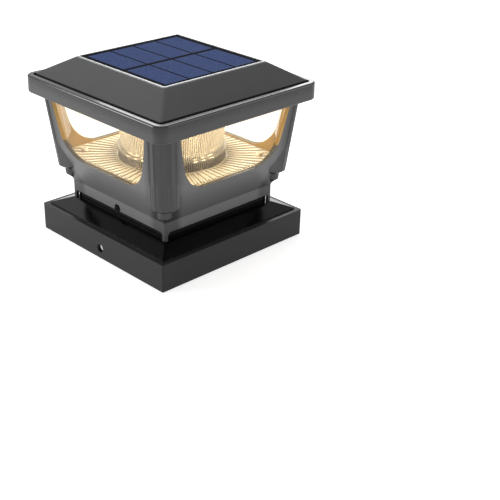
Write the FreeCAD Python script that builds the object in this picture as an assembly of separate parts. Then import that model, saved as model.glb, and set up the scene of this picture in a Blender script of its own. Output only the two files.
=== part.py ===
import FreeCAD, Part
import math
import os

from FreeCAD import Vector

# Deck post cap light, in millimetres. +Z is up and the origin is the middle of the skirt's lower edge.
# The -Y and +Y sides carry the screw holes.

# ---- post and skirt ----
post_side = 89.0            # a nominal four inch post, planed
post_play = 0.5             # each side, for paint and swelling
skirt_wall = 2.0
skirt_height = 14.0
skirt_top_wall = 2.2
skirt_edge = 0.5            # outer edge rounding
post_ledge = 2.5            # width of the ledge that lies on the post's end
lip_width = 2.5
hip_step = 0.6
hip_rise = 3.5
post_hole_radius = 2.2
post_hole_height = 5.4

# ---- neck, collar and bowl of the lantern body ----
neck_half = 35.6
neck_radius = 0.6
neck_wall = 1.5
neck_height = 9.6           # straight part, from the legs to the crease
leg_height = 4.2
leg_width = 1.9
notch_radius = 1.8
collar_gap = 0.3
collar_wall = 2.0
collar_height = 8.0
boss_half_width = 4.0        # pad behind each neck screw
boss_drop = 3.5
boss_cover = 0.8
shelf_gap = 0.2             # hip's inner edge beyond the neck
bowl_height = 46.0
bowl_top_half = 46.6
bowl_low_slope = 0.42       # outwards per mm of height, below the bend
bowl_high_slope = 0.105
bowl_bend_radius = 40.0
bowl_wall = 2.2
cavity_rise = 13.8          # cavity floor above the crease
cavity_ledge = 1.6          # ring that the floor rests on
cavity_start = 2.3          # foot of the hollow below the ledge, above the crease
cavity_corner_low = 73.0    # corner planes of the cavity, x + y
cavity_corner_high = 80.2

# ---- corner pillars ----
pillar_radius = 7.65
pillar_low_centre = 35.1
pillar_top_inset = 0.25     # pillar's outermost line inside the bowl's upper edge
pillar_rise = 9.7           # pillar's foot above the crease
tier_radius = 3.6
tier_offset = 1.4           # tier's axis outside the pillar's
ledge_radius = 5.05
tier_height = 3.4
corner_inset = 0.6          # bowl's corner planes inside the pillars' outermost line
ledge_height = 2.2
foot_height = 2.3
foot_radius = 1.3
flute_radius = 1.1
flute_depth = 0.25
flute_count = 5
flute_step = 24.0           # degrees between flutes
tier_flute_count = 3
tier_flute_step = 46.0

# ---- windows ----
window_half = 14.9          # straight part of the sill
window_rise = 15.7          # sill above the crease
window_radius = 17.0
window_lean = 13.5          # degrees, of the sides
pane_gap = 0.25
pane_inset = 0.15           # pane's face behind the frame's
pane_bevel = 2.6            # across the face
pane_bevel_depth = 0.9

# ---- clear insert, floor and ceiling ----
insert_gap = 0.3
insert_wall = 1.5
insert_top_gap = 0.3
insert_corner_inset = 1.2
floor_thickness = 1.5
floor_gap = 0.3
floor_rib_count = 72
floor_rib_width = 0.7
floor_rib_height = 0.45
floor_rib_start = 27.5
ceiling_thickness = 1.4
ceiling_gap = 0.35

# ---- reflector drum and lamp hub ----
drum_foot_radius = 27.0      # plain foot, widest at the floor
drum_foot_top_radius = 26.2
drum_foot_gap = 0.2
drum_foot_space_low = 25.0   # hollow of the foot, around the lamp strips
drum_foot_space_high = 23.9
drum_ring_lift = 4.6         # ring above the floor
drum_ring_radius = 27.3
drum_ring_height = 1.0
drum_low_radius = 25.4
drum_high_radius = 28.0
drum_wall = 1.8
drum_rib_count = 60
drum_rib_depth = 0.5
drum_base = 1.5
drum_flange = 8.0
drum_flange_thickness = 3.0
hub_half = 21.2
hub_leg = 11.5
hub_height = 6.5
hub_top = 1.5
hub_pocket_radius = 16.0
hub_passage_radius = 1.8
hub_screw_place = 13.4
hub_screw_depth = 4.0
strip_length = 15.0
strip_height = 5.2
strip_thickness = 0.8
led_width = 3.0
led_height = 2.2
led_rise = 1.0              # lamps above the strip's middle
led_thickness = 0.7
led_pitch = 5.0
leds_per_strip = 3
wire_hole_radius = 6.5

# ---- rim and roof ----
rim_overhang = 4.2          # beyond the bowl's upper edge
rim_radius = 5.2
rim_height = 8.7
rim_wall = 2.8
rim_edge = 0.9
rim_low_edge = 0.9
rim_floor = 2.0
ledge_rise = 5.3            # seal ledge above the rim's lower face
ledge_width = 3.4
seal_height = 0.8
seal_gap = 0.3
roof_gap = 1.4
roof_rise = 0.5             # pyramid's lower edge above the lip
roof_height = 8.5
roof_wall = 2.0
roof_top_half = 32.6
roof_edge_radius = 1.0
roof_crest = 0.4            # flat edge around the panel's pocket

# ---- solar panel ----
bezel_gap = 0.1
bezel_width = 0.8
bezel_proud = 0.4
bezel_height = 2.0
bezel_chamfer = 0.25
panel_gap = 0.1
pocket_depth = 2.4
backing_thickness = 1.4
cell_thickness = 0.3
cell_area_half = 29.2
cell_gap = 0.7
bus_gap = 1.5
cells_along = 4
sheet_thickness = 0.8

# ---- electronics tray ----
contact_room = 2.4          # between the cell's ends and the tray's walls
tray_wall = 1.6
tray_radius = 2.0
tray_height = 18.7
flange_thickness = 1.8
flange_gap = 0.4
floor_screw_place = 31.0
tray_boss_radius = 2.2
tray_boss_height = 6.0

# ---- battery and its door ----
battery_radius = 7.0
battery_length = 49.0
nub_radius = 2.8
nub_length = 1.0
battery_y = -12.5
battery_lift = 0.6          # above the tray's floor
battery_end_gap = 0.1
contact_thickness = 0.5
contact_width = 8.0
contact_reach = 4.9         # half height
door_play = 2.0             # beyond the cell's ends
door_opening_width = 15.4
door_margin = 4.5
door_thickness = 1.6
door_plug_gap = 0.3
door_seal_thickness = 0.8
door_screw_x = 20.0
door_boss_radius = 2.0
door_boss_height = 5.0

# ---- circuit board and switch ----
board_length = 46.0
board_width = 22.0
board_thickness = 1.6
board_y = 14.5
board_lift = 7.4
board_screw_x = 20.0
board_screw_y = 8.0
board_post_radius = 2.2
chip_place = (-12.0, -2.0)   # corner, from the board's middle
chip_length = 5.0
chip_width = 4.0
chip_height = 1.6
choke_place = (11.0, 3.0)
choke_radius = 2.6
choke_height = 3.2
capacitor_place = (11.0, -5.0)
capacitor_radius = 2.5
capacitor_height = 5.5
board_screw_grip = 4.5
button_x = 4.0
button_radius = 4.0
button_gap = 0.2
button_proud = 0.8
button_flange = 1.0
button_flange_thickness = 0.9
button_travel = 1.0
button_lift = 0.1
stem_radius = 1.4
stem_gap = 0.1
switch_side = 9.0
switch_height = 5.2

# ---- screws ----
small_screw_radius = 0.95
small_head_radius = 1.75
small_head_height = 1.2
screw_gap = 0.05
clearance_gap = 0.2
neck_screw_radius = 1.2
neck_head_radius = 1.9
neck_head_height = 1.6
neck_screw_length = 3.2
neck_hole_radius = 2.1
neck_hole_lift = 5.3        # above the legs' feet
body_screw_place = 41.7
body_screw_length = 9.0
roof_screw_place = 36.0
roof_screw_length = 7.5
roof_screw_sink = 1.3
roof_boss_radius = 2.8
drum_screw_circle = 24.5
drum_screw_count = 3

# ---- wires ----
wire_radius = 0.6

# ---- heights that follow ----
socket_half = post_side / 2 + post_play
skirt_half = socket_half + skirt_wall
skirt_under = skirt_height - skirt_top_wall
hip_low_half = skirt_half - lip_width
hip_high_half = neck_half + shelf_gap
shelf_z = skirt_height + hip_step + hip_rise
crease_z = shelf_z + neck_height
bowl_top_z = crease_z + bowl_height
cavity_z = crease_z + cavity_rise
pillar_high_centre = bowl_top_half - pillar_top_inset - pillar_radius
neck_inner_half = neck_half - neck_wall
collar_half = neck_inner_half - collar_gap
collar_inner_half = collar_half - collar_wall
pillar_z = crease_z + pillar_rise
tier_z = pillar_z - ledge_height - tier_height
foot_z = tier_z - foot_height
floor_top_z = cavity_z + floor_thickness
rim_z = bowl_top_z
rim_floor_z = rim_z + rim_floor
rim_top_z = rim_z + rim_height
seal_z = rim_z + ledge_rise
rim_half = bowl_top_half + rim_overhang
rim_inner_half = rim_half - rim_wall
rim_inner_radius = rim_radius - rim_wall
ledge_half = rim_inner_half - ledge_width
roof_low_half = rim_inner_half - roof_gap
roof_low_z = rim_top_z + roof_rise
roof_high_z = roof_low_z + roof_height
pocket_z = roof_high_z - pocket_depth
pocket_half = roof_top_half - roof_crest
bezel_half = pocket_half - bezel_gap
panel_half = bezel_half - bezel_width - panel_gap
hub_z = floor_top_z
drum_z = hub_z + hub_height
drum_foot_z = floor_top_z + drum_foot_gap
drum_ring_z = floor_top_z + drum_ring_lift
drum_skin_z = drum_ring_z + drum_ring_height
ceiling_z = rim_z - ceiling_thickness
drum_height = ceiling_z - drum_z
tray_half = (battery_length + nub_length) / 2 + contact_room + tray_wall
door_opening_length = battery_length + 2 * door_play
flange_top_z = cavity_z
tray_top_z = flange_top_z - flange_thickness
tray_z = tray_top_z - tray_height
tray_floor_z = tray_z + tray_wall
tray_inner_half = tray_half - tray_wall
battery_z = tray_floor_z + battery_lift + battery_radius
board_z = tray_floor_z + board_lift
switch_z = board_z - switch_height
button_flange_z = tray_floor_z + button_lift


def bend_height():
    """Height above the crease where the two straight parts of the bowl's profile would meet."""
    gain = bowl_top_half - neck_half - bowl_high_slope * bowl_height
    return gain / (bowl_low_slope - bowl_high_slope)


def bowl_half(z):
    """Half width of the bowl's faces at height z, its bend left out."""
    rise = z - crease_z
    if rise < bend_height():
        return neck_half + bowl_low_slope * rise
    return bowl_top_half - bowl_high_slope * (bowl_top_z - z)


def corner_reach(z, inset):
    """Sum of x and y on the bowl's corner planes, a little inside the pillar's outermost line."""
    if z < pillar_z:
        centre, radius = pillar_low_centre, tier_radius
    else:
        share = (z - pillar_z) / (bowl_top_z - pillar_z)
        centre = pillar_low_centre + share * (pillar_high_centre - pillar_low_centre)
        radius = pillar_radius
    return 2 * centre + math.sqrt(2) * (radius - inset)

def square_wire(half, radius, z):
    """Closed outline of a square with rounded corners, at height z."""
    inner = half - radius
    reach = inner + radius * math.sqrt(0.5)
    edges = []
    for quarter in range(4):
        turn = FreeCAD.Rotation(Vector(0, 0, 1), 90 * quarter)
        side = [Vector(half, -inner, z), Vector(half, inner, z)]
        bend = [Vector(half, inner, z), Vector(reach, reach, z), Vector(inner, half, z)]
        edges.append(Part.LineSegment(*[turn.multVec(p) for p in side]).toShape())
        edges.append(Part.Arc(*[turn.multVec(p) for p in bend]).toShape())
    return Part.Wire(edges)


def octagon_wire(half, leg, z):
    """Closed outline of a square whose corners are cut off by leg, at height z."""
    inner = half - leg
    corners = [Vector(half, -inner, z), Vector(half, inner, z)]
    points = []
    for quarter in range(4):
        turn = FreeCAD.Rotation(Vector(0, 0, 1), 90 * quarter)
        points += [turn.multVec(p) for p in corners]
    return Part.makePolygon(points + [points[0]])


def profile_slab(offset):
    """The bowl's profile as a slab along X, its two faces moved inwards by offset."""
    low = crease_z - neck_wall
    high = bowl_top_z + neck_wall
    angle_low = math.atan(bowl_low_slope)
    angle_high = math.atan(bowl_high_slope)
    bend_z = crease_z + bend_height()
    bend_y = bowl_half(bend_z) - offset
    radius = bowl_bend_radius - offset
    trim = radius * math.tan((angle_low - angle_high) / 2)
    start = Vector(0, bend_y - trim * math.sin(angle_low), bend_z - trim * math.cos(angle_low))
    end = Vector(0, bend_y + trim * math.sin(angle_high), bend_z + trim * math.cos(angle_high))
    middle_angle = (angle_low + angle_high) / 2
    centre = Vector(0, start.y - radius * math.cos(angle_low), start.z + radius * math.sin(angle_low))
    middle = centre + Vector(0, radius * math.cos(middle_angle), -radius * math.sin(middle_angle))
    foot = Vector(0, start.y - (start.z - low) * bowl_low_slope, low)
    top = Vector(0, end.y + (high - end.z) * bowl_high_slope, high)
    right = [foot, start, middle, end, top]
    left = [Vector(0, -p.y, p.z) for p in right]
    edges = []
    for side in (right, left):
        edges.append(Part.LineSegment(side[0], side[1]).toShape())
        edges.append(Part.Arc(side[1], side[2], side[3]).toShape())
        edges.append(Part.LineSegment(side[3], side[4]).toShape())
    edges.append(Part.LineSegment(right[0], left[0]).toShape())
    edges.append(Part.LineSegment(right[4], left[4]).toShape())
    face = Part.Face(Part.Wire(Part.__sortEdges__(edges)))
    length = 2 * rim_half
    face.translate(Vector(-length / 2, 0, 0))
    return face.extrude(Vector(length, 0, 0))


def bowl_block(offset, low, high, corner_low, corner_high):
    """The bowl's form moved inwards by offset, its corners cut off where x + y is corner_low to corner_high."""
    slab = profile_slab(offset)
    block = slab.common(slab.rotated(Vector(0, 0, 0), Vector(0, 0, 1), 90))
    half = rim_half
    trim = Part.makeLoft([octagon_wire(half, 2 * half - corner_low, low),
                          octagon_wire(half, 2 * half - corner_high, high)], True, True)
    return block.common(trim)


def prism(wire, height):
    return Part.Face(wire).extrude(Vector(0, 0, height))


def square_prism(half, radius, z, height):
    return prism(square_wire(half, radius, z), height)


def square_ring(outer_half, outer_radius, inner_half, inner_radius, z, height):
    outer = square_prism(outer_half, outer_radius, z, height)
    return outer.cut(square_prism(inner_half, inner_radius, z, height))


def box(x0, x1, y0, y1, z0, z1):
    return Part.makeBox(x1 - x0, y1 - y0, z1 - z0, Vector(x0, y0, z0))


def rod(radius, z, height, x=0.0, y=0.0):
    return Part.makeCylinder(radius, height, Vector(x, y, z))


def joined(shapes):
    result = shapes[0]
    if len(shapes) > 1:
        result = result.multiFuse(shapes[1:])
    return result.removeSplitter()


def around(shape, count=4):
    """Copies of a shape turned about the Z axis."""
    copies = []
    for index in range(count):
        copy = shape.copy()
        copy.rotate(Vector(0, 0, 0), Vector(0, 0, 1), 360.0 / count * index)
        copies.append(copy)
    return copies


def corners(place):
    return [(x, y) for x in (-place, place) for y in (-place, place)]


def screw(x, y, head_z, length, radius=small_screw_radius, point=-1):
    """A pan head screw whose head starts at head_z; point is -1 with its tip down and 1 with its tip up."""
    if point < 0:
        head = rod(small_head_radius, head_z, small_head_height, x, y)
        shank = rod(radius, head_z - length, length, x, y)
    else:
        head = rod(small_head_radius, head_z - small_head_height, small_head_height, x, y)
        shank = rod(radius, head_z, length, x, y)
    return head.fuse(shank).removeSplitter()


def save(name, shape):
    solids = shape.Solids
    result = solids[0] if len(solids) == 1 else Part.makeCompound(solids)
    result.exportStep(f"parts/{name}.step")
    volume = sum(solid.Volume for solid in solids)
    valid = all(solid.isValid() for solid in solids)
    print(f"{name}: {len(solids)} solid(s), {volume:.0f} mm3, valid {valid}")


# ---- post adapter base ----

def make_base():
    skirt = square_prism(skirt_half, skirt_edge, 0, skirt_height)
    step = square_prism(hip_low_half, skirt_edge, skirt_height, hip_step)
    hip_wires = [square_wire(hip_low_half, skirt_edge, skirt_height + hip_step),
                 square_wire(hip_high_half, skirt_edge, shelf_z)]
    hip = Part.makeLoft(hip_wires, True, True)
    collar = square_prism(collar_half, skirt_edge, skirt_height, shelf_z - skirt_height + collar_height)
    base = joined([skirt, step, hip, collar])
    socket = square_prism(socket_half, skirt_edge, 0, skirt_under)
    hollow_half = socket_half - post_ledge
    hollow_wires = [square_wire(hollow_half, skirt_edge, skirt_under),
                    square_wire(hip_high_half - skirt_top_wall, skirt_edge, shelf_z - skirt_top_wall)]
    hollow = Part.makeLoft(hollow_wires, True, True)
    bore = square_prism(collar_inner_half, skirt_edge, skirt_under, shelf_z)
    base = base.cut(socket.multiFuse([hollow, bore]))
    screw_z = shelf_z + neck_hole_lift
    boss_depth = neck_screw_length + boss_cover
    boss = box(-boss_half_width, boss_half_width, -collar_half, -collar_half + boss_depth,
               screw_z - boss_drop, shelf_z + collar_height)
    back_boss = boss.mirror(Vector(0, 0, 0), Vector(0, 1, 0))
    base = joined([base, boss, back_boss])
    pilot = Part.makeCylinder(neck_screw_radius + screw_gap, 2 * skirt_half,
                              Vector(0, -skirt_half, screw_z), Vector(0, 1, 0))
    post_holes = Part.makeCylinder(post_hole_radius, 2 * skirt_half,
                                   Vector(0, -skirt_half, post_hole_height), Vector(0, 1, 0))
    return base.cut(pilot.fuse(post_holes)).removeSplitter()


# ---- lantern body: neck, flared bowl, corner pillars and windows ----

def pillar_line(distance, out=0.0, side=0.0):
    """A point beside the +X +Y pillar's leaning axis, at a distance along it from the pillar's foot."""
    low = Vector(pillar_low_centre, pillar_low_centre, pillar_z)
    high = Vector(pillar_high_centre, pillar_high_centre, bowl_top_z)
    lean = (high - low).normalize()
    across = Vector(-1, 1, 0).normalize()
    outward = across.cross(lean)
    return low + lean * distance + outward * out + across * side


def pillar_rod(radius, start, length, out=0.0, side=0.0):
    lean = (pillar_line(1) - pillar_line(0)).normalize()
    return Part.makeCylinder(radius, length, pillar_line(start, out, side), lean)


def pillar_flutes(reach, count, step, start, length, offset=0.0):
    """Round grooves around an outer side, their axes at reach from its axis, offset from the pillar's."""
    grooves = []
    for index in range(count):
        angle = math.radians(step * (index - (count - 1) / 2))
        grooves.append(pillar_rod(flute_radius, start, length,
                                  offset + reach * math.cos(angle), reach * math.sin(angle)))
    return grooves


def pillar_turned(points, offset):
    """Solid of revolution from (radius, distance) points, about an axis offset from the pillar's."""
    outline = Part.makePolygon([pillar_line(along, offset + out) for out, along in points + points[:1]])
    lean = pillar_line(1) - pillar_line(0)
    return Part.Face(outline).revolve(pillar_line(0, offset), lean, 360)


def make_pillar():
    """The +X +Y corner's fluted pillar with its stepped foot, and the cutters of its flutes."""
    shaft = pillar_turned([(0, -ledge_height), (ledge_radius, -ledge_height), (pillar_radius, 0),
                           (pillar_radius, bowl_height), (0, bowl_height)], 0)
    low = -ledge_height - tier_height - foot_height
    tier = pillar_turned([(0, low), (foot_radius, low), (tier_radius, low + foot_height),
                          (tier_radius, -ledge_height / 2), (0, -ledge_height / 2)], tier_offset)
    solid = joined([shaft, tier]).common(box(0, rim_half, 0, rim_half, 0, bowl_top_z))
    reach = pillar_radius + flute_radius - flute_depth
    grooves = pillar_flutes(reach, flute_count, flute_step, 0, bowl_height)
    tier_reach = tier_radius + flute_radius - flute_depth
    grooves += pillar_flutes(tier_reach, tier_flute_count, tier_flute_step,
                             -ledge_height - tier_height, tier_height, tier_offset)
    return solid, grooves


def window_wire(inset, top, y):
    """U shaped window outline in the XZ plane at y, moved inwards by inset."""
    angle = math.radians(window_lean)
    radius = window_radius - inset
    sill = crease_z + window_rise
    centre = Vector(window_half, y, sill + window_radius)
    tangent = centre + Vector(radius * math.cos(angle), 0, -radius * math.sin(angle))
    half_turn = (math.pi / 2 - angle) / 2
    middle = centre + Vector(radius * math.sin(half_turn), 0, -radius * math.cos(half_turn))
    low = Vector(window_half, y, sill + inset)
    high = tangent + Vector(math.tan(angle), 0, 1) * (top - tangent.z)
    right = [low, middle, tangent, high]
    left = [Vector(-p.x, p.y, p.z) for p in right]
    edges = [Part.LineSegment(left[0], right[0]).toShape(),
             Part.Arc(right[0], right[1], right[2]).toShape(),
             Part.LineSegment(right[2], right[3]).toShape(),
             Part.LineSegment(right[3], left[3]).toShape(),
             Part.LineSegment(left[3], left[2]).toShape(),
             Part.Arc(left[2], left[1], left[0]).toShape()]
    return Part.Wire(edges)


def window_tool():
    """Cutter for the -Y window, open at the top."""
    face = Part.Face(window_wire(0, bowl_top_z + 1, -rim_half))
    return face.extrude(Vector(0, rim_half / 2, 0))


def notch_tool():
    """Cutter for the -Y notch between the neck's legs."""
    half = neck_half - leg_width
    bend = notch_radius * (1 - math.sqrt(0.5))
    low = shelf_z - 1
    high = shelf_z + leg_height
    y = -neck_half - 1
    points = [(-half, low), (-half, high - notch_radius), (-half + bend, high - bend),
              (-half + notch_radius, high), (half - notch_radius, high), (half - bend, high - bend),
              (half, high - notch_radius), (half, low)]
    at = [Vector(x, y, z) for x, z in points]
    edges = [Part.LineSegment(at[0], at[1]).toShape(),
             Part.Arc(at[1], at[2], at[3]).toShape(),
             Part.LineSegment(at[3], at[4]).toShape(),
             Part.Arc(at[4], at[5], at[6]).toShape(),
             Part.LineSegment(at[6], at[7]).toShape(),
             Part.LineSegment(at[7], at[0]).toShape()]
    return Part.Face(Part.Wire(edges)).extrude(Vector(0, neck_wall + 1.5, 0))


def corner_block(offset, low, high, inset):
    return bowl_block(offset, low, high, corner_reach(low, inset), corner_reach(high, inset))


def make_bowl():
    foot_reach = 2 * neck_half - neck_radius / 2
    low = bowl_block(0, crease_z, tier_z, foot_reach, corner_reach(tier_z, corner_inset))
    middle = corner_block(0, tier_z, pillar_z, corner_inset)
    high = corner_block(0, pillar_z, bowl_top_z, corner_inset)
    return low, middle, high


def make_body():
    neck = square_prism(neck_half, neck_radius, shelf_z, neck_height)
    pillar, grooves = make_pillar()
    body = joined([neck] + list(make_bowl()) + around(pillar))
    ledge_half = bowl_half(cavity_z) - bowl_wall - cavity_ledge
    cuts = [square_prism(neck_inner_half, skirt_edge, shelf_z, cavity_z - shelf_z),
            Part.makeLoft([square_wire(neck_inner_half - 0.2, skirt_edge, crease_z + cavity_start),
                           square_wire(ledge_half, skirt_edge, cavity_z)], True, True),
            bowl_block(bowl_wall, cavity_z, bowl_top_z, cavity_corner_low, cavity_corner_high)]
    for groove in grooves:
        cuts += around(groove)
    cuts += around(window_tool())
    cuts += around(notch_tool())
    screw_z = shelf_z + neck_hole_lift
    cuts.append(Part.makeCylinder(neck_hole_radius, 2 * skirt_half,
                                  Vector(0, -skirt_half, screw_z), Vector(0, 1, 0)))
    for x, y in corners(body_screw_place):
        depth = body_screw_length + 0.5
        cuts.append(rod(small_screw_radius + screw_gap, bowl_top_z - depth, depth, x, y))
    for cut in cuts:
        body = body.cut(cut)
    return body.removeSplitter()


def make_neck_screws():
    screw_z = shelf_z + neck_hole_lift
    head = Part.makeCylinder(neck_head_radius, neck_head_height,
                             Vector(0, -collar_half - neck_head_height, screw_z), Vector(0, 1, 0))
    shank = Part.makeCylinder(neck_screw_radius, neck_screw_length,
                              Vector(0, -collar_half, screw_z), Vector(0, 1, 0))
    slot = box(-0.3, 0.3, -collar_half - neck_head_height, -collar_half - neck_head_height / 2,
               screw_z - neck_head_radius / 2, screw_z + neck_head_radius / 2)
    one = head.fuse(shank).cut(slot).removeSplitter()
    return Part.makeCompound(around(one, 2))


# ---- clear insert, floor, ceiling ----

def cavity_corner(z):
    share = (z - cavity_z) / (bowl_top_z - cavity_z)
    return cavity_corner_low + share * (cavity_corner_high - cavity_corner_low)


def insert_block(gap, low, high):
    """Form of the clear insert's wall, gap inside the cavity's wall and corners."""
    return bowl_block(bowl_wall + gap, low, high, cavity_corner(low) - gap - insert_corner_inset,
                      cavity_corner(high) - gap - insert_corner_inset)


def make_pane(low, high):
    """The -Y window's pane: it fills the opening, and its face is bevelled all round."""
    outline = Part.Face(window_wire(pane_gap, bowl_top_z + 1, -rim_half))
    pane = profile_slab(pane_inset).common(outline.extrude(Vector(0, rim_half / 2, 0)))
    front = [face for face in pane.Faces if face.normalAt(0.5, 0.5).y < -0.8]
    sides = [face for face in pane.Faces if abs(face.normalAt(0.5, 0.5).y) < 0.05
             and face.normalAt(0.5, 0.5).z < 0.5]
    rims = [edge for edge in pane.Edges if any(edge.isSame(one) for face in front for one in face.Edges)
            and any(edge.isSame(one) for face in sides for one in face.Edges)]
    pane = pane.makeChamfer(pane_bevel, pane_bevel_depth, rims)
    return pane.common(box(-rim_half, rim_half, -rim_half, -rim_half / 2, low, high))


def make_insert():
    low, high = floor_top_z, bowl_top_z - insert_top_gap
    inside = insert_block(insert_gap + insert_wall, low, high)
    wall = insert_block(insert_gap, low, high)
    panes = around(make_pane(low, high))
    return joined([wall] + panes).cut(inside).removeSplitter()


def make_floor():
    half = bowl_half(cavity_z) - bowl_wall - floor_gap
    leg = 2 * half - cavity_corner_low + insert_corner_inset
    plate = prism(octagon_wire(half, leg, cavity_z), floor_thickness)
    rib_half = bowl_half(floor_top_z) - bowl_wall - insert_gap - insert_wall - 0.4
    field = prism(octagon_wire(rib_half, leg, floor_top_z), floor_rib_height)
    rib = box(floor_rib_start, 2 * rib_half, -floor_rib_width / 2, floor_rib_width / 2,
              floor_top_z, floor_top_z + floor_rib_height)
    heads = [rod(small_head_radius + 0.5, floor_top_z, floor_rib_height, x, y)
             for x, y in corners(floor_screw_place)]
    field = field.cut(Part.makeCompound(heads))
    ribs = [one.common(field) for one in around(rib, floor_rib_count)]
    floor = plate.multiFuse(ribs)
    holes = [rod(small_screw_radius + clearance_gap, cavity_z, floor_thickness, x, y)
             for x, y in corners(floor_screw_place) + hub_screw_places()]
    holes.append(rod(wire_hole_radius, cavity_z, floor_thickness))
    return floor.cut(Part.makeCompound(holes)).removeSplitter()


def make_ceiling():
    half = bowl_half(ceiling_z) - bowl_wall - insert_gap - insert_wall - ceiling_gap
    leg = 2 * half - cavity_corner(ceiling_z) + insert_corner_inset + insert_wall * 2
    plate = prism(octagon_wire(half, leg, ceiling_z), ceiling_thickness)
    holes = [rod(wire_hole_radius, ceiling_z, ceiling_thickness)]
    holes += drum_screw_holes(ceiling_z, ceiling_thickness, clearance_gap)
    return plate.cut(Part.makeCompound(holes))


def drum_screw_holes(z, height, gap=screw_gap):
    one = rod(small_screw_radius + gap, z, height, drum_screw_circle)
    return around(one, drum_screw_count)


# ---- reflector drum, lamp hub, LED strips ----

def ribbed_wire(radius, z):
    """Closed outline of a ring of shallow pointed ribs."""
    points = []
    for index in range(2 * drum_rib_count):
        angle = math.pi * index / drum_rib_count
        reach = radius - drum_rib_depth * (index % 2)
        points.append(Vector(reach * math.cos(angle), reach * math.sin(angle), z))
    return Part.makePolygon(points + [points[0]])


def make_drum():
    """Ribbed tube with a plain foot and ring around the lamp strips, closed above them by a plate."""
    foot = Part.makeCone(drum_foot_radius, drum_foot_top_radius, drum_ring_z - drum_foot_z,
                         Vector(0, 0, drum_foot_z))
    ring = rod(drum_ring_radius, drum_ring_z, drum_ring_height)
    tube = Part.makeLoft([ribbed_wire(drum_low_radius, drum_skin_z),
                          ribbed_wire(drum_high_radius, ceiling_z)], True, True)
    drum = joined([foot, ring, tube])
    skin = drum_wall + drum_rib_depth
    lamp_space = Part.makeCone(drum_foot_space_low, drum_foot_space_high, drum_z - drum_foot_z,
                               Vector(0, 0, drum_foot_z))
    hollow = Part.makeCone(drum_low_radius - skin, drum_high_radius - skin,
                           drum_height - drum_base - drum_flange_thickness,
                           Vector(0, 0, drum_z + drum_base))
    holes = [lamp_space, hollow, rod(drum_high_radius - drum_flange - skin, drum_z + drum_base, drum_height)]
    holes.append(rod(wire_hole_radius, drum_z, drum_base))
    holes += drum_screw_holes(ceiling_z - drum_flange_thickness, drum_flange_thickness)
    for hole in holes:
        drum = drum.cut(hole)
    return drum.removeSplitter()


def make_hub():
    hub = prism(octagon_wire(hub_half, hub_leg, hub_z), hub_height)
    pocket = rod(hub_pocket_radius, hub_z, hub_height - hub_top)
    hole = rod(wire_hole_radius, hub_z, hub_height)
    passage = Part.makeCylinder(hub_passage_radius, hub_half, Vector(0, 0, lead_height()), Vector(1, 0, 0))
    pilots = [rod(small_screw_radius + screw_gap, hub_z, hub_screw_depth, x, y)
              for x, y in hub_screw_places()]
    for cut in [pocket, hole, passage] + pilots:
        hub = hub.cut(cut)
    return hub.removeSplitter()


def hub_screw_places():
    place = hub_screw_place
    return [(-place, place), (place, -place)]


def strip_z():
    return hub_z + (hub_height - strip_height) / 2


def make_strips():
    z = strip_z()
    strip = box(-strip_length / 2, strip_length / 2, -hub_half - strip_thickness, -hub_half,
                z, z + strip_height)
    return Part.makeCompound(around(strip))


def make_leds():
    z = strip_z() + (strip_height - led_height) / 2 + led_rise
    y = -hub_half - strip_thickness
    packages = []
    for index in range(leds_per_strip):
        x = led_pitch * (index - (leds_per_strip - 1) / 2)
        package = box(x - led_width / 2, x + led_width / 2, y - led_thickness, y, z, z + led_height)
        packages += around(package)
    return Part.makeCompound(packages)


# ---- rim, seal and roof ----

def top_edges(shape, z):
    """Edges of a shape that lie wholly at height z."""
    return [edge for edge in shape.Edges
            if abs(edge.BoundBox.ZMin - z) < 1e-6 and abs(edge.BoundBox.ZMax - z) < 1e-6]


def make_rim():
    block = square_prism(rim_half, rim_radius, rim_z, rim_height)
    block = block.makeFillet(rim_edge, top_edges(block, rim_top_z))
    block = block.makeFillet(rim_low_edge, top_edges(block, rim_z))
    upper = square_prism(rim_inner_half, rim_inner_radius, seal_z, rim_height)
    lower = square_prism(ledge_half, rim_inner_radius, rim_floor_z, rim_height)
    rim = block.cut(upper).cut(lower)
    holes = [rod(wire_hole_radius + 2, rim_z, rim_floor)]
    for x, y in corners(body_screw_place):
        holes.append(rod(small_screw_radius + clearance_gap, rim_z, rim_floor, x, y))
    for x, y in roof_screw_places():
        holes.append(rod(small_screw_radius + clearance_gap, rim_z, rim_floor, x, y))
        holes.append(rod(small_head_radius + clearance_gap, rim_z, roof_screw_sink, x, y))
    holes += drum_screw_holes(rim_z, rim_floor, clearance_gap)
    for hole in holes:
        rim = rim.cut(hole)
    return rim.removeSplitter()


def roof_screw_places():
    place = roof_screw_place
    return [(place, 0), (0, place), (-place, 0), (0, -place)]


def make_seal():
    radius = rim_inner_radius - seal_gap
    return square_ring(rim_inner_half - seal_gap, radius, ledge_half + seal_gap, radius, seal_z, seal_height)


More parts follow.
